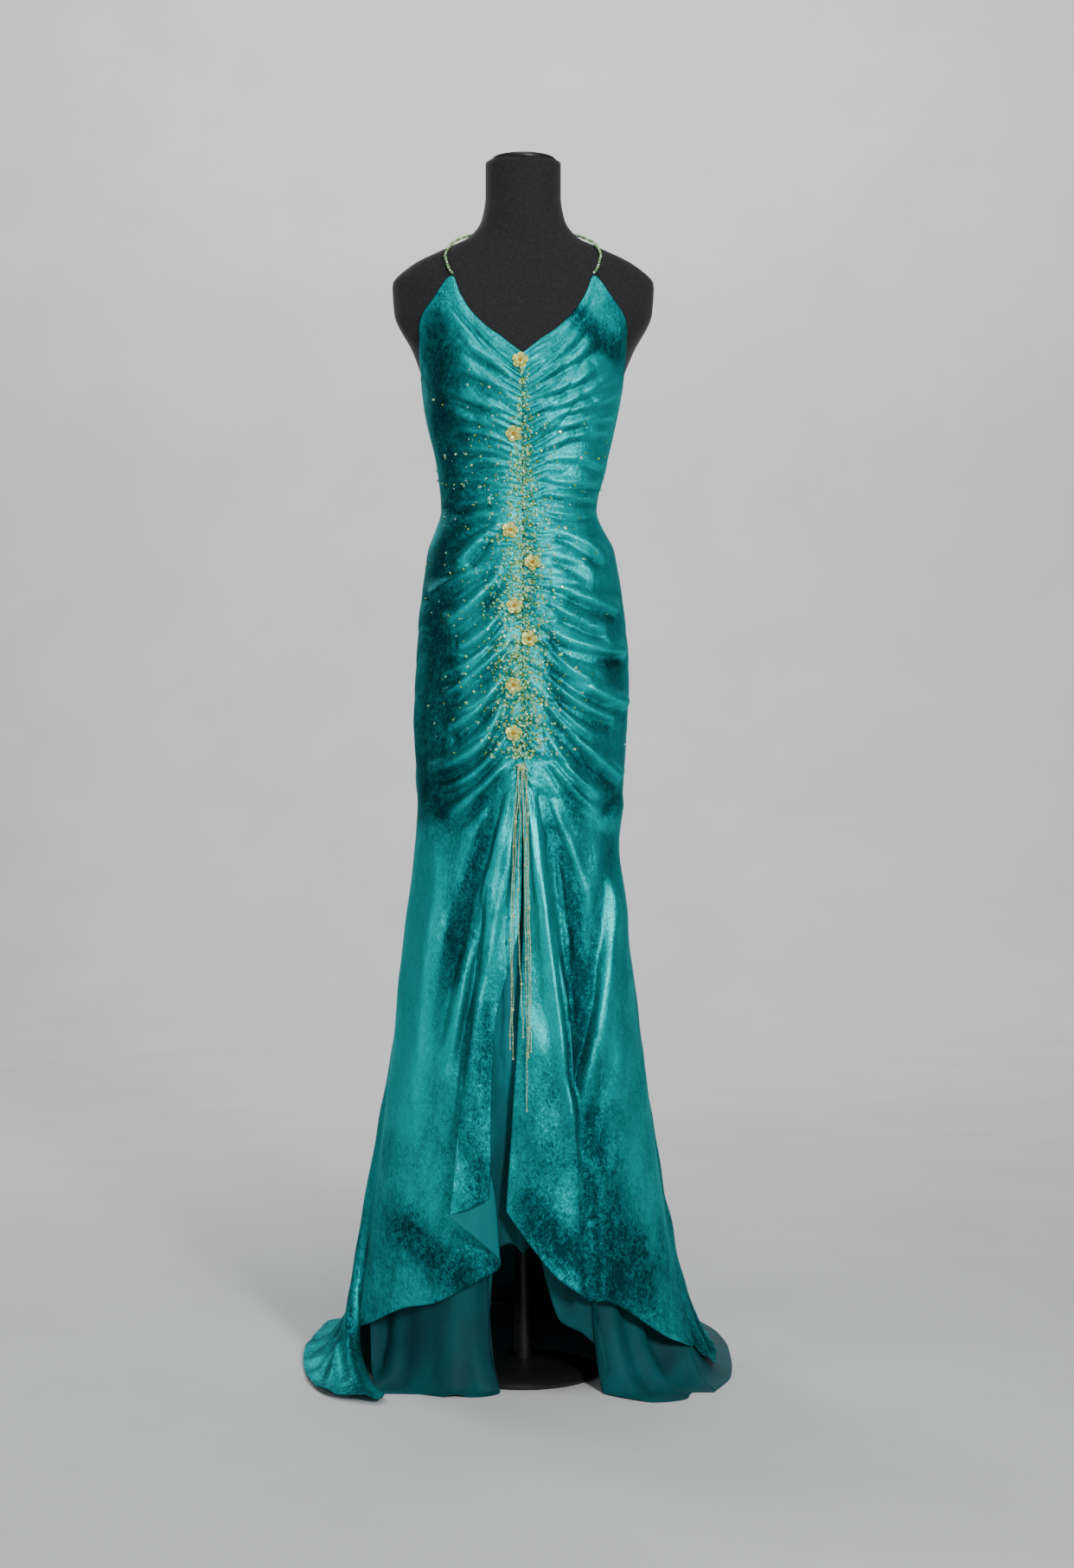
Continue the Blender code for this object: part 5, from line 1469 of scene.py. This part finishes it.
def copies(name: str, shape: Array, faces: Array, places: Array, axes: Array,
           sizes: Array) -> Solid:
    """Many copies of one small shape in one mesh: place + (shape * size) @ axes.

    Args:
        name: Name of the piece.
        shape: Points of one copy.
        faces: Its quads.
        places: Where each copy goes.
        axes: Three unit rows for each copy: its own x, y and z.
        sizes: Scale of each copy, one number or three.

    Returns:
        The joined object.
    """
    sizes = np.broadcast_to(sizes.reshape(len(places), -1), (len(places), 3))
    local = shape[None] * sizes[:, None, :]
    points = places[:, None, :] + np.einsum("nij,njk->nik", local, axes)
    shift = np.arange(len(places))[:, None, None] * len(shape)
    quads = (faces[None] + shift).reshape(-1, 4)
    return make_object(name, points.reshape(-1, 3), quads)


def turned(profile: Array, segments: int) -> tuple:
    """Closed solid of revolution: points (r cos a, r sin a, z), and its quads.

    Args:
        profile: Rows of radius and z from one pole to the other.
        segments: Points round it.

    Returns:
        Points and quads; a pole is a row of nearly no radius.
    """
    turns = np.linspace(0.0, 2 * math.pi, segments, endpoint=False)
    radius = profile[:, 0][:, None]
    points = np.stack([radius * np.cos(turns), radius * np.sin(turns),
                       profile[:, 1][:, None] + 0 * turns], axis=-1).reshape(-1, 3)
    return points, tube_quads(len(profile), segments)


def tube_quads(loops: int, segments: int) -> Array:
    """Quads between stacked closed loops, and strips of quads over both ends.

    Args:
        loops: Number of loops.
        segments: Points of a loop, an even number.

    Returns:
        Faces of four indices; a strip begins and ends with one that repeats an index.
    """
    level, place = np.meshgrid(np.arange(loops - 1), np.arange(segments), indexing="ij")
    after = (place + 1) % segments
    side = np.stack([level * segments + place, level * segments + after,
                     (level + 1) * segments + after, (level + 1) * segments + place], axis=-1)
    side = side.reshape(-1, 4)
    middle = segments // 2
    strip = np.arange(1, middle - 1)
    first = np.stack([segments - strip, segments - strip - 1, strip + 1, strip], axis=-1)
    first = np.concatenate([[[segments - 1, 1, 0, 0]], first,
                            [[middle + 1, middle, middle - 1, middle - 1]]])
    last = first[:, ::-1] + (loops - 1) * segments
    return np.concatenate([side, first, last])


def tube(path: Array, radius: Array, sides: int) -> tuple:
    """Tube round a path: path + r (cos a * first + sin a * second), ends closed."""
    along = unit(np.gradient(path, axis=0))
    first = np.cross(along, np.array([0.0, 0.0, 1.0]) + 0 * along)
    weak = np.linalg.norm(first, axis=-1) < 0.2
    first[weak] = np.cross(along[weak], np.array([1.0, 0.0, 0.0]))
    first = unit(first)
    second = np.cross(along, first)
    turns = np.linspace(0.0, 2 * math.pi, sides, endpoint=False)[None, :, None]
    reach = np.broadcast_to(radius, (len(path),))[:, None, None]
    points = path[:, None] + reach * (np.cos(turns) * first[:, None]
                                      + np.sin(turns) * second[:, None])
    return points.reshape(-1, 3), tube_quads(len(path), sides)


def bead_shape() -> tuple:
    """Small round bead of unit radius with a few dozen faces."""
    tilt = np.radians([-80.0, -32.0, 32.0, 80.0])
    return turned(np.stack([np.cos(tilt), np.sin(tilt)], axis=-1), 6)


def axes_from(normals: Array, spin: Array) -> Array:
    """Three unit rows for each normal: two across it, turned by spin, and itself."""
    side = unit(np.cross(np.array([0.0, 0.0, 1.0]) + 0 * normals, normals))
    up = np.cross(normals, side)
    cosine = np.cos(spin)[:, None]
    sine = np.sin(spin)[:, None]
    return np.stack([side * cosine + up * sine, up * cosine - side * sine, normals], axis=1)


def steps_along(path: Array) -> Array:
    """Length along a path up to each of its points."""
    steps = np.linalg.norm(np.diff(path, axis=0), axis=-1)
    return np.concatenate([[0.0], np.cumsum(steps)])


def points_along(path: Array, where: Array) -> Array:
    """Points of a path at lengths along it."""
    length = steps_along(path)
    return np.stack([np.interp(where, length, path[:, each]) for each in range(3)], axis=-1)


class BeadKind(NamedTuple):
    """One kind of round bead: how many, their band and strays, sizes, seed and finish."""

    name: str
    count: int
    spread: float
    stray: float
    smallest: float
    largest: float
    seed: int
    finish: BeadFinish


ROUND_BEADS = (
    BeadKind("pearl_beads", 520, 0.022, 0.04, 0.0012, 0.0026, 5,
             BeadFinish("pearl_beads", (0.28, 0.58, 0.24), (0.54, 0.92, 0.50))),
    BeadKind("gold_beads", 1150, 0.026, 0.07, 0.0008, 0.0018, 6,
             BeadFinish("gold_beads", (0.28, 0.37, 0.02), (0.62, 0.76, 0.12), 0.70)),
)
SEQUIN_FINISH = BeadFinish("sequins", (0.16, 0.60, 0.46), (0.52, 0.95, 0.66), 0.55, (0.08, 0.2))


@dataclass
class Beadwork:
    """Pearls, gold beads and sequins strewn down the ruched seam and thinner to both sides."""

    grids: dict
    top: float = 1.436
    bottom: float = 0.885
    glue: float = 0.00045
    seat: float = 0.55
    sequins: int = 1150
    sequin_spread: float = 0.034
    sequin_stray: float = 0.12
    sequin_seed: int = 11
    sequin_size: float = 0.0012
    sequin_growth: float = 0.0024
    sequin_lift: float = 0.00075
    sequin_tilt: float = 0.22
    sequin_turn: float = 6.28

    def spots(self, count: int, spread: float, stray: float, seed: int) -> tuple:
        """Random points of the front, dense at the seam.

        The chance of a grid point is exp(-(x / w)^2) + stray exp(-((x + 0.01) / 0.07)^2) times
        its area. The band w grows from 0.36 spread at the bust to spread at the hips.

        Args:
            count: Number of spots.
            spread: Half-width of the dense band at the hips.
            stray: Share that lies far from the seam.
            seed: Seed of the draw.

        Returns:
            Places, normals and a random generator.
        """
        rng = np.random.default_rng(seed)
        points = np.concatenate([grid.reshape(-1, 3) for grid in self.grids.values()])
        normals = np.concatenate([outward(grid, side.value).reshape(-1, 3)
                                  for side, grid in self.grids.items()])
        areas = np.concatenate([
            np.linalg.norm(np.cross(np.gradient(grid, axis=0), np.gradient(grid, axis=1)),
                           axis=-1).reshape(-1) for grid in self.grids.values()])
        z = points[:, 2]
        width = spread * (0.36 + 0.64 * ease((1.42 - z) / 0.30))
        chance = (np.exp(-(points[:, 0] / width) ** 2)
                  + stray * np.exp(-((points[:, 0] + 0.01) / 0.070) ** 2))
        inside = (z < self.top) & (z > self.bottom)
        chance = chance * areas * inside * (0.55 + 0.45 * ease((1.40 - z) / 0.12))
        pick = rng.choice(len(points), size=count, replace=False, p=chance / chance.sum())
        return points[pick], normals[pick], rng

    def build(self) -> list:
        """Three joined pieces: pearls, gold beads and sequins."""
        shape, faces = bead_shape()
        pieces = []
        for kind in ROUND_BEADS:
            places, normals, rng = self.spots(kind.count, kind.spread, kind.stray, kind.seed)
            sizes = rng.uniform(kind.smallest, kind.largest, kind.count)
            places = places + normals * (self.glue + sizes * self.seat)[:, None]
            spin = rng.uniform(0.0, 2 * math.pi, kind.count)
            item = copies(kind.name, shape, faces, places, axes_from(normals, spin), sizes)
            pieces.append(complete(item, kind.finish.build()))
        disc, disc_faces = turned(np.array([[1.0, 0.0], [0.94, 0.16], [0.20, 0.06]]), 8)
        places, normals, rng = self.spots(self.sequins, self.sequin_spread,
                                          self.sequin_stray, self.sequin_seed)
        sizes = self.sequin_size + self.sequin_growth * rng.uniform(0.0, 1.0, self.sequins) ** 5
        lean = unit(normals + self.sequin_tilt * rng.normal(size=normals.shape))
        places = places + normals * self.sequin_lift
        spin = rng.uniform(0.0, self.sequin_turn, self.sequins)
        item = copies("sequins", disc, disc_faces, places, axes_from(lean, spin), sizes)
        pieces.append(complete(item, SEQUIN_FINISH.build()))
        for piece in pieces:
            LOG.info("%s: %d faces", piece.name, len(piece.data.polygons))
        return pieces


@dataclass
class FlowerSpray:
    """Petalled flowers in place of the flat CAD ones, each with a gold eye of beads."""

    tree: BVHTree
    radius: float = 0.0118
    petals: int = 5
    layers: tuple = (1.0, 0.66)
    petal_wall: float = 0.00045
    eye_ring: int = 6
    eye_radius: float = 0.0024
    eye_heights: tuple = (0.0042, 0.0034)
    eye_sizes: tuple = (0.0019, 0.0012)

    def petal_grid(self, layer: int) -> Array:
        """One closed ring of petals, as loops that grow from the middle.

        The loop at a share s of the radius R is R s (1 - (1 - l) s^2) wide, where the lobes
        l = 0.70 + 0.30 |cos(k a / 2)|^0.55 part between the k petals, and its height rises
        with s^2.2, so that the rims curl up.
        """
        turns = np.linspace(0.0, 2 * math.pi, 60, endpoint=False)
        share = np.linspace(0.04, 1.0, 9)[:, None]
        across = np.abs(np.cos(self.petals * turns / 2))
        lobe = 0.70 + 0.30 * across ** 0.55
        radius = self.radius * self.layers[layer] * share * (1 - (1 - lobe) * share ** 2)
        height = (0.0010 + 0.0014 * layer + (0.0022 + 0.0012 * layer) * share ** 2.2
                  + 0.0010 * across ** 0.8 * np.sin(math.pi * share))
        return np.stack([radius * np.cos(turns), radius * np.sin(turns), height], axis=-1)

    def blossom(self) -> tuple:
        """Points and quads of one flower that lies flat, and how many quads are petals."""
        points = []
        quads = []
        count = 0
        for layer in range(len(self.layers)):
            top = self.petal_grid(layer)
            loops = np.concatenate([top, (top - np.array([0.0, 0.0, self.petal_wall]))[::-1]])
            points.append(loops.reshape(-1, 3))
            quads.append(tube_quads(*loops.shape[:2]) + count)
            count += len(points[-1])
        petal_quads = sum(len(part) for part in quads)
        bead, bead_faces = bead_shape()
        turns = np.linspace(0.0, 2 * math.pi, self.eye_ring, endpoint=False)
        ring_spots = np.stack([self.eye_radius * np.cos(turns), self.eye_radius * np.sin(turns),
                               self.eye_heights[1] + 0 * turns], axis=-1)
        spots = np.concatenate([[[0.0, 0.0, self.eye_heights[0]]], ring_spots])
        sizes = [self.eye_sizes[0]] + [self.eye_sizes[1]] * self.eye_ring
        for spot, size in zip(spots, sizes):
            points.append(bead * size + spot)
            quads.append(bead_faces + count)
            count += len(bead)
        return np.concatenate(points), np.concatenate(quads), petal_quads

    def axes_at(self, node: str, turn: float) -> tuple:
        """Place of a flower on the cloth nearest its CAD node, and axes square to that node."""
        corners = np.array([vertex.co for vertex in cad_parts[node].data.vertices])
        middle = corners.mean(axis=0)
        _, _, basis = np.linalg.svd(corners - middle)
        facing = basis[2] if basis[2][1] < 0 else -basis[2]
        rest = self.tree.find_nearest(Vector(middle.tolist()))[0]
        base = middle + facing * float((np.array(rest) - middle) @ facing)
        return base, axes_from(facing[None], np.array([math.radians(turn)]))[0]

    def build(self) -> list:
        """All the flowers, each in place of its CAD node."""
        petal = BeadFinish("gold_flower", (0.50, 0.49, 0.07), (0.78, 0.84, 0.29), 0.35,
                           (0.25, 0.42), 180.0).build()
        eye = BeadFinish("flower_eye", (0.50, 0.27, 0.02), (0.80, 0.52, 0.08), 0.8).build()
        local, quads, petal_quads = self.blossom()
        pieces = []
        for number, turn in enumerate(FLOWER_TURNS, start=1):
            node = f"flower_{number}"
            base, axes = self.axes_at(node, turn)
            item = make_object(node + "_petals", base + local @ axes, quads)
            complete(item, petal, eye, node=node, slot="gold_flower")
            index = np.zeros(len(item.data.polygons), dtype=np.int32)
            index[petal_quads:] = 1
            item.data.polygons.foreach_set("material_index", index)
            pieces.append(item)
        LOG.info("flowers: %d", len(pieces))
        return pieces


def front_tree(grids: dict) -> BVHTree:
    """Search tree of both front grids."""
    points = []
    faces = []
    for grid in grids.values():
        rows, columns = grid.shape[:2]
        faces += (grid_quads(rows, columns) + len(points)).tolist()
        points += grid.reshape(-1, 3).tolist()
    return BVHTree.FromPolygons(points, faces)


@dataclass
class Tassel:
    """Strands of seed and bugle beads hanging from the end of the ruched seam."""

    tree: BVHTree
    radius: float = 0.0011
    pitch: float = 0.0027
    standoff: float = 0.0032
    seed_length: float = 0.00115
    bugle_length: float = 0.0014
    widths: tuple = (0.0009, 0.0012)
    knot: float = 0.0022
    knot_pitch: int = 48
    end_bead: float = 0.0020
    head_beads: int = 46
    head_sizes: tuple = (0.0011, 0.0019)
    head_spread: tuple = (0.0042, 0.0008, 0.0024)
    head_lift: float = 0.004

    def depth(self, x: float, z: float) -> float:
        """How far forward the cloth reaches at a place on the front."""
        hit = self.tree.ray_cast(Vector((x, -1.0, z)), Vector((0.0, 1.0, 0.0)))
        return hit[0].y if hit[0] else -0.10

    def path(self, strand: Strand, samples: int = 60) -> Array:
        """Strand's line: x through its three points, y no further in than the cloth allows."""
        z = np.linspace(GATHER_HEIGHT - 0.006, strand.end_z, samples)
        x = smooth([0.0, 0.5, 1.0], [strand.root_x, strand.middle_x, strand.end_x],
                   np.linspace(0.0, 1.0, samples))
        near = np.linspace(-0.05, 0.05, 11)
        cloth = np.array([min(self.depth(across, height) for across in near) for height in z])
        solid_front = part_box("bead_tassel")[0].y
        y = np.minimum.accumulate(np.minimum(cloth - self.standoff, cloth[0] - 0.003))
        y = np.maximum(y, solid_front + self.radius)
        return np.stack([x, y, z], axis=-1)

    def build(self) -> Solid:
        """Beads along every strand, a few larger ones at knots, and a cluster as the head."""
        rng = np.random.default_rng(7)
        places = []
        sizes = []
        for strand in STRANDS:
            path = self.path(strand)
            length = steps_along(path)[-1]
            count = int(length / self.pitch)
            number = np.arange(count)
            where = np.linspace(0.0, length, count)
            spots = points_along(path, where)
            spots[:, 0] += 0.0005 * waves(where * 20, 0 * where, count, 0.5, 1.5, 4)
            long = np.where(number % 4 == 0, self.bugle_length, self.seed_length)
            wide = rng.uniform(*self.widths, count)
            knot = ((number + 13 * len(places)) % self.knot_pitch) == 40
            wide[knot] = self.knot
            long[knot] = self.knot
            wide[-1] = self.end_bead
            places.append(spots)
            sizes.append(np.stack([wide, wide, long], axis=-1))
        cluster = rng.normal(size=(self.head_beads, 3)) * np.array(self.head_spread)
        cluster[:, 1] = -np.abs(cluster[:, 1])
        head = self.path(STRANDS[2])[0]
        places.append(head + cluster + np.array([0.0, 0.0, self.head_lift]))
        sizes.append(np.repeat(rng.uniform(*self.head_sizes, (self.head_beads, 1)), 3, axis=1))
        places = np.concatenate(places)
        axes = np.broadcast_to(np.eye(3), (len(places), 3, 3))
        item = copies("bead_strands", *bead_shape(), places, axes, np.concatenate(sizes))
        finish = BeadFinish("silver_beads", (0.34, 0.46, 0.18), (0.70, 0.92, 0.56), 0.45)
        LOG.info("bead strands: %d beads", len(places))
        return complete(item, finish.build(), node="bead_tassel", slot="silver_beads")


@dataclass
class HalterStrand:
    """Green and clear beads from one strap point, behind the neck, to the other."""

    radius: float = 0.0032
    standoff: float = 0.0012
    pitch: float = 0.0050
    inset: float = 0.001
    green_size: float = 0.0026
    clear_size: float = 0.0020
    thread: float = 0.0006

    def path(self, samples: int = 240) -> Array:
        """Line over the form: ring point plus the form's normal times the bead's reach."""
        share = np.linspace(-1.0, 1.0, samples)
        first = HALTER[0].angle
        away = first + (180.0 - first) * np.abs(1 - np.abs(share))
        angle = np.where(share < 0, -away, away)
        z = read(HALTER, "z", away)
        turn = ring(angle + 0.5, z) - ring(angle - 0.5, z)
        rise = ring(angle, z + 0.0005) - ring(angle, z - 0.0005)
        normal = unit(np.cross(turn, rise))
        return ring(angle, z) + normal * (self.radius + self.standoff)

    def build(self) -> list:
        """Round beads on a thread, every third of them clear."""
        path = self.path()
        length = steps_along(path)[-1]
        count = int(length / self.pitch)
        spots = points_along(path, np.linspace(self.inset, length - self.inset, count))
        axes = axes_from(unit(np.gradient(spots, axis=0)), np.zeros(count))
        clear = np.arange(count) % 3 == 1
        pieces = []
        for name, keep, size, finish, node in (
                ("halter_green_beads", ~clear, self.green_size, BeadFinish(
                    "green_beads", (0.05, 0.20, 0.06), (0.30, 0.52, 0.20)), "halter_strand"),
                ("halter_clear_beads", clear, self.clear_size, BeadFinish(
                    "clear_beads", (0.45, 0.60, 0.42), (0.85, 0.92, 0.80), 0.2), None)):
            item = copies(name, *bead_shape(), spots[keep], axes[keep],
                          np.full(int(keep.sum()), size))
            pieces.append(complete(item, finish.build(), node=node, slot="green_beads"))
        thread = make_object("halter_thread", *tube(path, np.array(self.thread), 6))
        complete(thread, pieces[0].data.materials[0], slot="green_beads")
        LOG.info("halter: %d beads", count)
        return pieces + [thread]


@dataclass
class DressForm:
    """Limbless torso and neck in jersey, with its cap, pole and round base."""

    rows: int = 160
    segments: int = 96
    seam_depth: float = 0.0006
    seam_width: float = 0.9
    pole_step: float = 0.06
    pole_taper: float = 0.98
    sharp_angle: float = 40.0

    def torso(self) -> Solid:
        """Body with a seam pressed in at the centre front and the centre back."""
        low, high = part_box("form_torso")
        z = np.linspace(low.z, high.z, self.rows)[:, None]
        turns = np.linspace(0.0, 360.0, self.segments, endpoint=False)
        from_seam = np.abs((turns + 90.0) % 180.0 - 90.0)
        seam = self.seam_depth * np.exp(-(from_seam / self.seam_width) ** 2)
        points = ring(turns, z, -seam)
        return make_object("torso_cover", points.reshape(-1, 3),
                           tube_quads(self.rows, self.segments))

    def cap(self) -> Solid:
        """Rounded disc on the neck."""
        low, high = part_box("form_neck_cap")
        profile = np.array([[AXIS_RADIUS, 0.0], [0.94, 0.0], [0.985, 0.12], [1.0, 0.38],
                            [0.985, 0.70], [0.95, 0.90], [0.88, 0.98], [0.30, 1.0],
                            [AXIS_RADIUS, 1.0]])
        profile = profile * np.array([(high.x - low.x) / 2, high.z - low.z])
        points, quads = turned(profile, 72)
        middle = np.array([(low.x + high.x) / 2, (low.y + high.y) / 2, low.z])
        return make_object("neck_cap", points + middle, quads)

    def pole(self) -> Solid:
        """Tube, a little thinner near its upper end."""
        low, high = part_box("stand_pole")
        wide = (high.x - low.x) / 2
        thin = wide * self.pole_taper
        step = high.z - self.pole_step
        profile = [[AXIS_RADIUS, low.z], [wide, low.z], [wide, step], [thin, step + 0.002],
                   [thin, high.z], [AXIS_RADIUS, high.z]]
        return make_object("pole_tube", *turned(np.array(profile), 48))

    def base(self) -> Solid:
        """Flat round foot that rises to a collar."""
        low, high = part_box("stand_base")
        wide = (high.x - low.x) / 2
        profile = [[AXIS_RADIUS, 0.0], [wide - 0.001, 0.0], [wide, 0.0012], [wide, 0.0050],
                   [wide - 0.0016, 0.0066], [wide - 0.012, 0.0118], [wide - 0.045, 0.0165],
                   [0.034, 0.0200], [0.028, high.z], [AXIS_RADIUS, high.z]]
        return make_object("round_base", *turned(np.array(profile), 96))

    def build(self) -> list:
        """Torso, cap, pole and base in their finishes."""
        steel = SteelFinish().build()
        pieces = [complete(self.torso(), JerseyFinish().build(), node="form_torso",
                           slot="form_jersey")]
        for item, node in ((self.cap(), "form_neck_cap"), (self.pole(), "stand_pole"),
                           (self.base(), "stand_base")):
            item.data.set_sharp_from_angle(angle=math.radians(self.sharp_angle))
            pieces.append(complete(item, steel, node=node, slot="stand_steel"))
        LOG.info("form and stand: %d pieces", len(pieces))
        return pieces


class Lamp(NamedTuple):
    """Rectangular soft light: its place, what it aims at, its width and height, and watts."""

    name: str
    place: tuple
    aim: tuple
    size: tuple
    power: float


LAMPS = (
    Lamp("key", (1.25, -3.3, 1.9), (0.0, 0.0, 1.0), (0.4, 0.8), 101.0),
    Lamp("fill", (-2.6, -1.6, 1.3), (0.0, 0.0, 0.7), (0.5, 1.8), 12.0),
    Lamp("top", (0.1, -0.9, 3.3), (0.0, 0.1, 1.0), (1.2, 0.8), 22.0),
    Lamp("rim", (-1.6, 2.0, 2.4), (0.0, 0.0, 0.9), (0.8, 1.6), 24.0),
    Lamp("wall", (0.0, 3.4, 4.8), (0.0, 6.3, 1.6), (6.0, 1.0), 250.0),
)


@dataclass
class Studio:
    """Pale floor, soft lights and the camera at the photograph's angle."""

    focal: float = 55.57
    camera: tuple = (0.02, -3.5, 0.85)
    reach: float = 9.0
    wall: float = 6.6
    bend: float = 2.2
    height: float = 6.5
    sky: tuple = (0.90, 0.95, 1.0, 1.0)
    sky_strength: float = 0.15

    def light(self, lamp: Lamp) -> None:
        """One rectangular soft light."""
        data = bpy.data.lights.new(lamp.name, "AREA")
        data.shape = "RECTANGLE"
        data.size, data.size_y = lamp.size
        data.energy = lamp.power
        item = bpy.data.objects.new(lamp.name, data)
        item.location = lamp.place
        way = Vector(lamp.aim) - Vector(lamp.place)
        item.rotation_euler = way.to_track_quat("-Z", "Y").to_euler()
        bpy.context.scene.collection.objects.link(item)

    def backdrop(self) -> None:
        """Pale floor that curves up into a wall: a quarter circle between two flat runs."""
        turns = np.linspace(0.0, math.pi / 2, 24)
        y = np.concatenate([[-self.reach], self.wall - self.bend + self.bend * np.sin(turns),
                            [self.wall]])
        z = np.concatenate([[0.0], self.bend - self.bend * np.cos(turns), [self.height]])
        rows = np.stack([0 * y, y, z], axis=-1)
        left = rows - np.array([self.reach, 0.0, 0.0])
        right = rows + np.array([self.reach, 0.0, 0.0])
        step = np.arange(len(rows) - 1)
        quads = np.stack([step, step + len(rows), step + len(rows) + 1, step + 1], axis=-1)
        floor = make_object("studio_floor", np.concatenate([left, right]), quads)
        nodes = Nodes("studio_floor")
        cloud = nodes.noise(nodes.place(), 3.0)
        nodes.link(nodes.ramp(cloud, ((0.3, (0.66, 0.66, 0.66)), (0.7, (0.71, 0.71, 0.71)))),
                   "Base Color")
        nodes.fix(Roughness=0.8, Specular_IOR_Level=0.1)
        floor.data.materials.append(nodes.material)

    def build(self) -> None:
        """Floor, world, lights and camera."""
        self.backdrop()
        world = bpy.data.worlds.new("studio")
        world.use_nodes = True
        sky = world.node_tree.nodes["Background"].inputs
        sky["Color"].default_value = self.sky
        sky["Strength"].default_value = self.sky_strength
        bpy.context.scene.world = world
        for lamp in LAMPS:
            self.light(lamp)
        data = bpy.data.cameras.new("camera")
        data.sensor_width = 36.0
        data.lens = self.focal
        data.clip_end = 50.0
        view = bpy.data.objects.new("camera", data)
        view.location = self.camera
        view.rotation_euler = (math.pi / 2, 0.0, 0.0)
        bpy.context.scene.collection.objects.link(view)
        bpy.context.scene.camera = view


def main() -> None:
    """Build the form, the dress, its beadwork and the studio."""
    logging.basicConfig(level=logging.INFO, format="%(name)s: %(message)s")
    DressForm().build()
    knit = LiningFinish("velvet_wrong_side", (0.000, 0.150, 0.165), (0.000, 0.205, 0.220))
    woven = LiningFinish().build()
    velvet = Fabric("velvet", 0.0009, 0.0003, VelvetFinish().build(), knit.build())
    lining = Fabric("lining", 0.0005, 0.0005, woven, woven)
    grids = Dress(velvet, lining).build()
    tree = front_tree(grids)
    Beadwork(grids).build()
    FlowerSpray(tree).build()
    Tassel(tree).build()
    HalterStrand().build()
    Studio().build()


if __name__ == "__main__":
    main()
